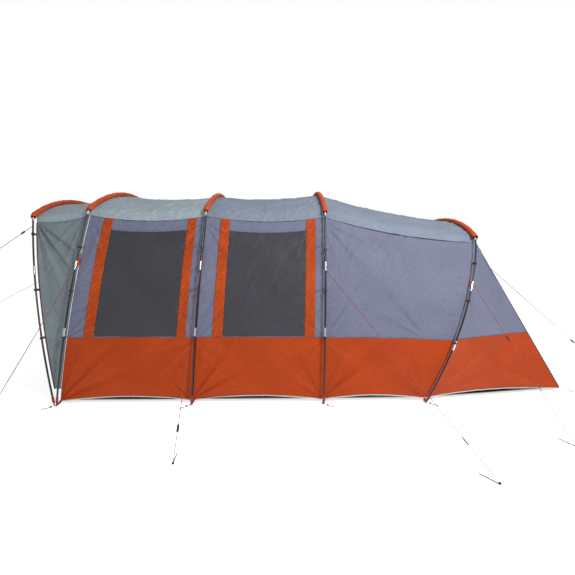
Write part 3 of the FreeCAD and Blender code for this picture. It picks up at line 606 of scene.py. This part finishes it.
WALL_ROWS, WALL_COLS, WALL_HIGH = 140, 150, 1.13
WINDOW_HEAD = 1.602
seams = []          # (path, kind, side word) of every felled seam
for tag, first, second in BAYS:
    bay = abs(second.x - first.x)
    for k, (word, side) in enumerate(SIDES):
        seed = {"bc": 3, "cd": 5, "de": 8}[tag] + 20 * k
        place = "%s_%s" % (tag, word)
        fold = wall_fold(seed, bay, WALL_HIGH, None if tag == "de" else (0.17, 0.86))
        wall = side_grid(first, second, side, SKIRT, SEAM, WALL_ROWS, WALL_COLS, v0=0.002,
                         v1=0.998, dip0=0.004, dip1=-0.05, sag=0.016, fold=fold)
        cloth("wall_cloth_" + place, wall, WALL, rests_on=["clip_hooks"],
              replaces="wall_" + place, slot="wall_cloth")
        seams += [(wall[0, ::3], "skirt", word), (wall[-1, ::3], "roof", word)]
        if tag == "de":
            continue
        v_of = [0.140 / bay, 0.232 / bay, 1 - 0.182 / bay, 1 - 0.090 / bay]
        ids = [int(round(v * (WALL_COLS - 1))) for v in v_of]
        n = normals(wall, 1, side)
        for name, lo, hi in (("front", ids[0], ids[1]), ("rear", ids[2], ids[3])):
            strip = wall[:, lo:hi + 1] + n[:, lo:hi + 1] * 0.0025
            up, along = lengths(strip, 0), lengths(strip, 1)
            ripple = sum(pleats(up, along, (h, 0.045), 0.6 + 0.25 * math.sin(5 * h + seed), 0.035,
                                0.06, 0.12, 0.0028, 7 * h) for h in np.linspace(0.1, 1.0, 7))
            strip = strip + n[:, lo:hi + 1] * (ripple + 0.001)[..., None]
            cloth("band_%s_%s_%s" % (tag, name, word), strip, BAND,
                  rests_on=["wall_cloth_" + place], replaces="bands_" + word,
                  slot="orange_cloth")
        top = int(round((WALL_ROWS - 1) * (WINDOW_HEAD - SKIRT) / (SEAM - SKIRT)))
        pane = wall[1:top, ids[1]:ids[2] + 1] + n[1:top, ids[1]:ids[2] + 1] * 0.002
        cloth("window_" + place, pane, WINDOW, rests_on=["wall_cloth_" + place],
              replaces="windows_" + word, slot="window_film")
        # Dark tube in the seam tape colour along the window's top edge: a painted shadow line
        # under the wall above the window.
        rim = pane[-1, ::3] + n[top, ids[1]:ids[2] + 1:3] * 0.002
        piece("window_head_shadow_line_" + place, [tube(rim, 0.004, 6)], SEAM_TAPE_AND_SHADE, closed=True, thick=0)
    roof = roof_grid(first, second, 260, 110, sag=0.035,
                     fold=lambda a, b, v: (sleeve_gathers(a, v, bay, 0.0055, 90 + len(tag))
                                           + crumple(a, b, 0.0022, 0.1, 0.5, seed=31)
                                           + creases(a, b, 0.5, 120, 0.0070, 61, width=0.018)
                                           + creases(a, b, 1.2, 70, 0.0058, 62, width=0.018))
                     * edge_fade(v, 0.02))
    cloth("roof_cloth_" + tag, roof, SAGE if tag == "bc" else SLATE,
          rests_on=["arch_%s_poles" % first.name], replaces="roof_" + tag, slot="roof_cloth")

# skirts: lower cloth of each bay with a lifted hem, wrinkled towards the pegged feet
hem_lines = {"near": [], "far": []}
for tag, first, second in BAYS:
    bay = abs(second.x - first.x)
    for k, (word, side) in enumerate(SIDES):
        seed = {"bc": 13, "cd": 15, "de": 18}[tag] + 20 * k

        def skirt_fold(up, along, v, seed=seed, bay=bay):
            out = fans(up, along, (((0.0, 0.0), 0.95, 0.6, 11, 0.2, 0.010, seed),
                                   ((0.0, bay), -0.95, 0.6, 10, 0.2, 0.010, seed * 1.3),
                                   ((0.5, 0.0), 2.2, 0.5, 9, 0.16, 0.006, seed),
                                   ((0.5, bay), -2.2, 0.5, 9, 0.16, 0.006, seed)))
            out = out + crumple(up, along, 0.003, 0.08, 0.4, seed=seed)
            out = out + creases(up, along, 1.1, 24, 0.0020, seed + 5, width=0.012)
            return out * edge_fade(v, 0.02)

        skirt = side_grid(first, second, side, 0.03, SKIRT, 60, 120, v0=0.002, v1=0.998,
                          dip0=0.032, dip1=0.004, sag=0.012, fold=skirt_fold)
        cloth("skirt_cloth_%s_%s" % (tag, word), skirt, RUST, rests_on=["groundsheet"],
              replaces="skirt_" + word, slot="orange_cloth")
        hem_lines[word].append(skirt[0])


# -------------------- porch
def porch_grid(side, rows=120, cols=70):
    """Porch side between the leaning porch arch and the front arch, tapering to the feet."""
    t = np.linspace(0, 1, rows)[:, None]
    v = np.linspace(0.004, 0.996, cols)[None, :]
    dip = -0.035 * bell(v)
    lo, hi_a, hi_b = 0.13, SEAM * A.scale + 0.004, SEAM + 0.004
    p = A.at_height(lo + (hi_a + dip - lo) * t, side)
    q = B.at_height(lo + (hi_b + dip - lo) * t, side)
    grid = p * (1 - v)[..., None] + q * v[..., None]
    n = normals(grid, 1, side)
    up, along = lengths(grid, 0), lengths(grid, 1)
    top = float(up[-1, 0])
    push = -0.03 * bell(v) * np.sin(np.pi * np.clip(t, 0, 1)) ** 0.7
    push = push + fan(up, along, (top, 0.0), 2.62, 0.42, 21, 0.34, 0.017, 0.4)
    push = push + fan(up, along, (top, 0.5), -2.6, 0.4, 15, 0.2, 0.006, 1.4)
    push = push + crumple(up, along, 0.002, 0.08, 0.35, seed=4)
    push = push + creases(up, along, 0.5, 50, 0.0038, 8)
    push = push * edge_fade(v, 0.05) * np.clip(t * 8, 0, 1)
    return grid + n * push[..., None]


for word, side in SIDES:
    grid = porch_grid(side)
    cloth("porch_cloth_" + word, grid, PORCH, rests_on=["clip_hooks"],
          replaces="porch_side_" + word, slot="wall_cloth")
    piece("porch_binding_" + word, [tube(grid[::2, 0], 0.006, 8)], MAROON, closed=True, thick=0)
    seams.append((grid[-1, ::2], "roof", word))
porch_roof = roof_grid(A, B, 200, 60, sag=0.03, dip=-0.03,
                       fold=lambda a, b, v: (sleeve_gathers(a, v, 0.5, 0.003, 77)
                                             + crumple(a, b, 0.002, 0.1, 0.5, seed=33))
                       * edge_fade(v, 0.03))
cloth("porch_roof_cloth", porch_roof, SAGE, rests_on=["arch_a_poles", "arch_b_poles"],
      replaces="porch_roof", slot="roof_cloth")


# -------------------- rear
LINE_E, _, K_HIGH = E.outline()      # the rear arch's cloth line; it leaves its elbow at K_HIGH
SHOULDER = E.world(LINE_E[K_HIGH], 1)


def rear_edge(z, side):
    """Point at height z on the straight fold from the rear shoulder to the rear corner."""
    k = np.asarray(z) / SHOULDER[2]
    x = REAR_X + (SHOULDER[0] - REAR_X) * k
    y = REAR_Y + (SHOULDER[1] - REAR_Y) * k
    return np.stack([x, side * y, np.asarray(z) + 0 * k], -1)


def rear_side_grid(side, z0, z1, rows, cols, seed, size):
    """Side of the rear: level lines from the rear arch's cloth edge to the rear fold.

    With no z1 it runs up to the point where the fold meets the arch.
    """
    v = np.linspace(0.003, 0.997, cols)[None, :, None]
    if z1 is None:
        part = LINE_E[:K_HIGH + 1]
        run = running(part)
        start = np.interp(z0 / math.cos(E.lean), part[:, 1], run)
        front = E.world(spots_on(part, np.linspace(start, run[-1], rows)), side)
        back = rear_edge(z0 + (SHOULDER[2] - z0) * np.linspace(0, 1, rows), side)
        lift = 0.0
    else:
        z = np.linspace(z0, z1, rows)
        front = E.at_height(z / math.cos(E.lean), side)
        back = rear_edge(z, side)
        lift = (0.03 * bell(v) * np.linspace(1, 0, rows)[:, None, None]) * np.array([0, 0, 1.0])
    grid = front[:, None] * (1 - v) + back[:, None] * v + lift
    n = normals(grid, 1, side)
    up, along = lengths(grid, 0), lengths(grid, 1)
    vv = v[..., 0]
    push = -0.015 * bell(vv) * np.ones((rows, 1))
    if z1 is None:
        top = float(up[-1, 0])
        push = push + fan(up, along, (top + 0.1, 0.0), 2.75, 0.32, 26, 0.45, size, seed)
    else:
        push = push + fan(up, along, (0.0, 1.3), -1.1, 0.5, 12, 0.35, size, seed)
        push = push + fan(up, along, (0.0, 0.0), 1.0, 0.5, 10, 0.25, size * 0.8, seed)
    push = push + crumple(up, along, 0.0022, 0.08, 0.4, seed=int(seed * 10))
    push = push + creases(up, along, 2.6, 50, 0.0044 if z1 is None else 0.0018, 12, width=0.013)
    return grid + n * (push * edge_fade(vv, 0.03))[..., None]


def rear_back_grid(z0, z1, rows, cols, seed):
    """Sloping back: straight lines from height z0 up to z1, or to the rear arch's roof curve."""
    v = np.linspace(-1, 1, cols)
    arc_u = LINE_E[K_HIGH, 0] * v
    _, rw, rr = E.roof

    def level(z):
        x, y, _ = rear_edge(z, 1)
        return np.stack([np.full(cols, x), y * v, np.full(cols, z)], 1)

    low = level(z0)
    if z1 is None:
        top = E.world(np.stack([arc_u, rw + np.sqrt((rr - DROP) ** 2 - arc_u ** 2)], 1))
    else:
        top = level(z1)
    t = np.linspace(0, 1, rows)[:, None, None]
    grid = low[None] * (1 - t) + top[None] * t
    n = normals(grid, 0)
    up, across = lengths(grid, 0), lengths(grid, 1)
    push = crumple(up, across, 0.003, 0.1, 0.6, seed=seed)
    push = push - 0.02 * bell((v[None] + 1) / 2) * bell(t[..., 0])
    push = push + sleeve_gathers(across, np.broadcast_to(1 - t[..., 0] * 0.999, across.shape),
                                 1.4, 0.002, seed)
    return grid + n * (push * edge_fade((v[None] + 1) / 2, 0.02))[..., None]


for word, side in SIDES:
    upper = rear_side_grid(side, SKIRT, None, 110, 80, 1.1, 0.010)
    cloth("rear_cloth_" + word, upper, WALL, rests_on=["clip_hooks"], replaces="rear_panel",
          slot="wall_cloth")
    lower = rear_side_grid(side, 0.032, SKIRT, 60, 110, 2.3, 0.008)
    cloth("rear_skirt_cloth_" + word, lower, RUST, rests_on=["groundsheet"],
          replaces="rear_skirt", slot="orange_cloth")
    hem_lines[word].append(lower[0])
    seams.append((upper[0, ::3], "skirt", word))
back_top = rear_back_grid(SKIRT, None, 110, 160, 51)
cloth("rear_cloth_back", back_top, WALL, rests_on=["arch_e_poles"], replaces="rear_panel",
      slot="wall_cloth")
back_low = rear_back_grid(0.035, SKIRT, 50, 160, 52)
cloth("rear_skirt_cloth_back", back_low, RUST, rests_on=["groundsheet"], replaces="rear_skirt",
      slot="orange_cloth")
seams.append((back_top[0, ::3], "skirt", "back"))
for word, side in SIDES:
    fold_line = rear_edge(np.linspace(0.05, SHOULDER[2] - 0.01, 90), side)
    piece("rear_fold_tape_" + word, [tube(fold_line, 0.006, 8)], SEAM_TAPE_AND_SHADE, closed=True, thick=0)


# -------------------- seams, sleeves and hems
for word in ("near", "far", "back"):
    for kind in ("skirt", "roof"):
        runs = [tube(path, 0.0035, 6, 0.6) for path, *tags in seams if tags == [kind, word]]
        if runs:
            piece("felled_seam_%s_%s" % (kind, word), runs, SEAM_TAPE_AND_SHADE, closed=True, thick=0)

SLEEVE_SHARE = 0.32      # share of the elbow's arc below the end of the sleeve
POLE_BEND = 0.12         # radius of the pole's elbow
for arch in (A, B, C, D, E):
    line, k_leg, k_high = arch.outline(0.0, 0.0, POLE_BEND)
    half_line = line[k_leg + int(round(SLEEVE_SHARE * (k_high - k_leg))):]
    whole = np.concatenate([half_line * [-1, 1], half_line[::-1][1:]])
    s = np.linspace(0, 1, 300)
    path = arch.world(spots_on(whole, s * running(whole)[-1]))
    wobble = (0.0255 + 0.0012 * np.sin(s * 160 + arch.x) + 0.0010 * np.sin(s * 71)
              + 0.0006 * np.sin(s * 301))
    wobble[:2] *= 0.93
    wobble[-2:] *= 0.93
    side_dir = np.array([math.cos(arch.lean), 0, -math.sin(arch.lean)])
    skin = tube(path, wobble, 20, 1.0, up=side_dir)
    piece("sleeve_cloth_" + arch.name, [skin], ORANGE, replaces="sleeve_" + arch.name,
          slot="orange_cloth", closed=True, thick=0.0015)

hem = []
for word, side in SIDES:
    path = np.concatenate([h[::4] for h in hem_lines[word]])
    path = path + np.array([0, 0, -0.004])
    hem.append(tube(path, 0.0055, 8))
base = back_low[0, ::4] + np.array([0, 0, -0.004])
hem.append(tube(base, 0.0055, 8))
piece("hem_cord_binding", hem, PIPING, replaces="hem_piping", slot="piping", closed=True, thick=0)


# -------------------- groundsheet
def sheet_edge(hang):
    """Groundsheet outline of one side, from the front arch to the rear corner."""
    pts = [(B.x + 0.016, B), (C.x, C), (D.x, D), (E.x, E)]
    out = [(x, arch.at_height(0.02, 1, hang)[1]) for x, arch in pts]
    out.append((REAR_X - 0.012, REAR_Y - 0.008))
    return np.array(out)


edge = sheet_edge(0.054)
xs = np.linspace(edge[0, 0], edge[-1, 0], 160)
ys = np.interp(xs, edge[:, 0], edge[:, 1])
TURN_UP = 0.085     # width of the sloping edge of the groundsheet
across = np.linspace(-1, 1, 100)
gx, gy = np.meshgrid(np.linspace(xs[0] + TURN_UP, xs[-1] - TURN_UP, 160), across, indexing="ij")
gz = 0.003 + 0.0012 * (1 + np.sin(gx * 9) * np.sin(gy * 7))
gz += 0.0012 * np.abs(crumple(gx, gy * 1.4, 1.0, 0.2, 0.8, seed=9))
floor_grid = np.stack([gx, gy * (np.interp(gx, xs, ys) - TURN_UP), gz], -1)
cloth("groundsheet_cloth", floor_grid, FLOOR_CLOTH, held="laid", replaces="groundsheet",
      slot="ground_cloth")
rim_path = np.concatenate([np.stack([xs, -ys], 1), np.stack([np.full(60, xs[-1]),
                           np.linspace(-ys[-1], ys[-1], 60)], 1)[1:-1],
                           np.stack([xs[::-1], ys[::-1]], 1),
                           np.stack([np.full(60, xs[0]), np.linspace(ys[0], -ys[0], 60)], 1)[1:]])
levels = np.linspace(0, 1, 7)
inset = np.stack([np.clip(rim_path[:, 0], xs[0] + TURN_UP, xs[-1] - TURN_UP),
                  np.sign(rim_path[:, 1]) * np.maximum(np.abs(rim_path[:, 1]) - TURN_UP, 0)], 1)
rim = np.stack([np.concatenate([inset * (1 - h) + rim_path * h, np.full((len(rim_path), 1),
                0.004 + 0.040 * h ** 1.6)], 1) for h in levels])
rim[..., 2] += 0.002 * np.sin(np.linspace(0, 60, len(rim_path)))[None] * levels[:, None]
cloth("groundsheet_rim", rim, FLOOR_CLOTH, held="hung", slot="ground_cloth")

# -------------------- front wall, door and zip
LEAN = B.lean
DOOR_HALF, DOOR_SILL, DOOR_SPRING = 0.5, 0.09, 1.3   # half width, foot, start of the round head


def plane_b(u, w, out):
    """Point in the front wall's plane, out metres towards the porch."""
    return np.stack([B.x + 0.0065 + w * math.sin(LEAN) - out * math.cos(LEAN), u,
                     w * math.cos(LEAN) + out * math.sin(LEAN)], -1)


def door_edge(grow, count=200):
    """Door outline from the near sill up, over the round head and down to the far sill."""
    r = DOOR_HALF + grow
    w = np.linspace(DOOR_SILL - grow, DOOR_SPRING, count // 3)
    ang = np.linspace(math.pi, 0, count - 2 * len(w) + 2)[1:-1]
    u = np.concatenate([np.full(len(w), -r), r * np.cos(ang), np.full(len(w), r)])
    return np.stack([u, np.concatenate([w, DOOR_SPRING + r * np.sin(ang), w[::-1]])], 1)


def front_edge(count=200):
    """Arch-shaped outline of the front wall, near foot over the ridge to the far foot."""
    half, _, _ = B.outline(0.058, 0.033, 0.084, 0.03)
    full = np.concatenate([half * [-1, 1], half[::-1][1:]])
    return spots_on(full, np.linspace(0, running(full)[-1], count))


inner, outer = door_edge(0.002), front_edge()
v = np.linspace(0, 1, 50)[None, :, None]
flat = inner[:, None] * (1 - v) + outer[:, None] * v
push = (crumple(flat[..., 0], flat[..., 1], 0.003, 0.1, 0.6, seed=21)
        + fan(flat[..., 1], flat[..., 0], (0.03, -1.42), 0.8, 0.5, 12, 0.4, 0.006, 1.0)
        + fan(flat[..., 1], flat[..., 0], (0.03, 1.42), -0.8, 0.5, 12, 0.4, 0.006, 2.0))
push *= edge_fade(v[..., 0], 0.06)
cloth("front_wall_cloth", plane_b(flat[..., 0], flat[..., 1], push), FRONT,
      rests_on=["arch_b_poles"], replaces="front_wall", slot="wall_cloth")
su, sw = np.meshgrid(np.linspace(-1.42, 1.42, 120), np.linspace(0.02, 0.085, 8), indexing="ij")
cloth("front_sill_cloth", plane_b(su, sw, 0.002 * np.sin(su * 20)), FRONT, slot="wall_cloth")
FLAP_HALF, FLAP_FOOT = 0.498, 0.092      # the flap is 2 mm smaller than its opening all round
du, dt = np.meshgrid(np.linspace(-FLAP_HALF, FLAP_HALF, 90), np.linspace(0, 1, 150), indexing="ij")
head = DOOR_SPRING + np.sqrt(np.maximum(FLAP_HALF ** 2 - du ** 2, 0))
dw = FLAP_FOOT + (head - FLAP_FOOT) * dt
door_push = crumple(du, dw, 0.0035, 0.12, 0.6, seed=22) + 0.004 * np.sin(du * 9 + dw * 1.5)
door_push = door_push * edge_fade((du + FLAP_HALF) / (2 * FLAP_HALF), 0.06) * edge_fade(dt, 0.04)
cloth("door_cloth", plane_b(du, dw, door_push), FRONT, held="hung", rests_on=["front_wall_cloth"],
      body="door", replaces="front_door", slot="wall_cloth")
zip_line = door_edge(0.013, 400)
zip_path = plane_b(zip_line[:, 0], zip_line[:, 1], 0.0035)
piece("zip_coil", [tube(zip_path, 0.005, 8, 0.6)], COIL, replaces="door_zip", slot="black_plastic",
      closed=True, thick=0)

# -------------------- tapes, straps, patches and painted crease shade
# Shares of the shoulder's height at which each arch's legs have a clip.
CLIPS = {"a": (0.336, 0.583, 0.891), "b": (0.327, 0.554, 0.783), "c": (0.327, 0.554, 0.783),
         "d": (0.324, 0.556, 0.777), "e": (0.363, 0.604, 0.827)}


def flat_band(a, b, across, width, bow=0.0, count=14):
    """Flat strip from a to b, for webbing and for the painted crease shade strips, its width along
    across, bowed sideways by bow.
    """
    t = np.linspace(0, 1, count)[:, None]
    path = a * (1 - t) + b * t + np.array([0, 0, -bow]) * (4 * t * (1 - t))
    return ribbon(path, np.broadcast_to(across, path.shape), width)


tapes, cuffs, patches = [], [], []
for arch in (A, B, C, D, E):
    up = np.array([math.sin(arch.lean), 0, math.cos(arch.lean)])
    for word, side in SIDES:
        for share in CLIPS[arch.name]:
            w = SHOULDER_UP * arch.scale * share
            a, b = arch.at_height(w, side, 0.014, 0.014), arch.at_height(w, side, 0.049)
            tapes.append(flat_band(a, b, up, 0.022, 0.004))
        foot, top = (arch.at_height(h, side, 0.0, 0.0) for h in (0.026, 0.080))
        cuffs.append(tube(foot + (top - foot) * np.linspace(0, 1, 8)[:, None], 0.0105, 12,
                          up=(1, 0, 0)))
        if arch is not A:
            t = np.linspace(0, 1, 20)[:, None]
            k = np.linspace(0, 1, 12)[None, :]
            low = 1.22 * arch.scale - 0.010
            edge = 0.052 + (0.013 - 0.052) * k * (1 - t)
            w = low + 0.127 * t + 0 * k
            spot = np.stack([arch.at_height(row, side, 0.0, 0.0) for row in w])
            inward = np.stack([arch.at_height(row, side, 0.1, 0.0) for row in w]) - spot
            spot = spot + inward / 0.1 * edge[..., None]
            spot[..., 0] += 0.003 * np.sin(9 * k + 5 * t) * (1 - t)
            patches.append(spot)
for arch in (B, C, D, E):
    for word, side in SIDES:
        foot = arch.world(np.array([arch.half, 0.0]), side)
        inner_y = side * (arch.at_height(0.02, 1)[1] + 0.003)
        tapes.append(flat_band(foot + [0.0025, -side * 0.020, 0.012],
                               np.array([foot[0] + 0.010, inner_y, 0.034]),
                               np.array([1.0, 0, 0]), 0.025, 0.003))
for word, side in SIDES:
    tail = np.array([REAR_X + 0.006, side * (REAR_Y + 0.002), 0.027])
    tapes.append(flat_band(tail, tail + [0.080, side * 0.050, -0.017],
                           np.array([-0.5, side * 0.85, 0]), 0.022, 0.002))
# Thin dark strips from the clip heights into the bays: painted shade of the tension creases that
# pull from the clips.
crease_shade_bands = []
for first, second in ((B, C), (C, D)):
    for word, side in SIDES:
        for height in (1.40, 0.98):
            a, edge = second.at_height(height + 0.02, side), first.at_height(height, side)
            reach = 0.088 / (second.x - first.x)
            b = second.at_height(height, side) * (1 - reach) + edge * reach
            lift = np.array([0, side * 0.0035, 0.001])
            crease_shade_bands.append(flat_band(a + lift, b + lift, np.array([0, -0.12 * side, 1.0]), 0.018))
piece("painted_crease_shade", crease_shade_bands, SEAM_TAPE_AND_SHADE, slot="wall_cloth", thick=0.001)
piece("red_webbing_tapes", tapes, WEBBING, replaces="red_straps", slot="red_webbing", thick=0.0016)
piece("red_foot_cuffs", cuffs, WEBBING, slot="red_webbing", closed=True, thick=0)
piece("guy_patch_cloth", patches, ORANGE, replaces="guy_patches", slot="orange_cloth",
      thick=0.0016)

# -------------------- guylines
# Arch, height of the start along its leg, then the peg from the foot along X and outwards, metres.
LINES = (("a", A, 1.665, -3.160, -0.975), ("b", B, 1.185, -0.011, 1.000),
         ("c", C, 1.185, 0.094, 0.873), ("d", D, 1.185, 0.884, 1.116),
         ("e", E, 1.174, 0.750, 0.743))
CORD_RADIUS = 0.0025
RIDGE_OUT = 0.020        # the rear lines start this far each side of the ridge


def guyline(name, start, peg, clear):
    """Taut braided cord from a leg to the peg's head, a NURBS line of four points."""
    way = (peg - start) / np.linalg.norm(peg - start)
    start = start + way * clear
    way = (peg - start) / np.linalg.norm(peg - start)
    end = peg + [0, 0, 0.009] - way * 0.010
    data = bpy.data.curves.new(name, "CURVE")
    data.dimensions = "3D"
    data.bevel_depth = CORD_RADIUS
    data.bevel_resolution = 3
    spline = data.splines.new("NURBS")
    spline.points.add(3)
    for point, share in zip(spline.points, (0.0, 0.02, 0.98, 1.0)):
        point.co = (*(start + (end - start) * share).tolist(), 1.0)
    spline.order_u = 3
    spline.use_endpoint_u = True
    data.use_fill_caps = True
    data.materials.append(CORD)
    obj = bpy.data.objects.new(name, data)
    bpy.context.scene.collection.objects.link(obj)
    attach(obj, "tent")
    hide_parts("guylines")


for tag, arch, w, along_x, out_y in LINES:
    for word, side in SIDES:
        start, above = arch.at_height(np.array([w, w + 0.001]), side, 0.0, 0.0)
        foot = arch.world(np.array([arch.half, 0.0]), side)
        peg = np.array([foot[0] + along_x, foot[1] + side * out_y, 0.0])
        way = (peg - start) / np.linalg.norm(peg - start)
        leg = (above - start) / np.linalg.norm(above - start)
        clear = 0.0145 / np.linalg.norm(np.cross(way, leg))
        guyline("guyline_%s_%s" % (tag, word), start, peg, clear)
for word, side in SIDES:
    ridge = E.roof[1] + math.sqrt(E.roof[2] ** 2 - RIDGE_OUT ** 2)
    top = E.world(np.array([RIDGE_OUT, ridge]), side)
    guyline("guyline_rear_" + word, top, np.array([top[0] + 1.56, side * 0.833, 0.0]), 0.028)

# -------------------- carried-over solids
FINISH = {"arch": BLACK_TUBE, "fittings": ALLOY, "runner": HOOK, "foot_pins": DARK_STEEL,
          "foot_pegs": RED_STEEL, "guy_pegs": DARK_STEEL, "clip_hooks": HOOK, "zip_slider": ALLOY}
for name, obj in NODES.items():
    if obj.hide_render:
        continue
    key = "fittings" if name.endswith("fittings") else name.split("_")[0]
    key = name if name in FINISH else key
    obj.data.materials.clear()
    obj.data.materials.append(FINISH.get(key, WEBBING))


# -------------------- floor
floor_mat, _, floor_body = blank("matt white floor", Roughness=0.9, Emission_Strength=0.7)
floor_body.inputs["Base Color"].default_value = linear("#FAFAFA")
floor_body.inputs["Emission Color"].default_value = (1.0, 1.0, 1.0, 1.0)
floor_mesh = bpy.data.meshes.new("floor")
corners = [(-40, -30, 0), (40, -30, 0), (40, 60, 0), (-40, 60, 0)]
floor_mesh.from_pydata(corners, [], [(0, 1, 2, 3)])
floor_mesh.materials.append(floor_mat)
floor = bpy.data.objects.new("floor", floor_mesh)
floor.location.z = -0.0005
bpy.context.scene.collection.objects.link(floor)
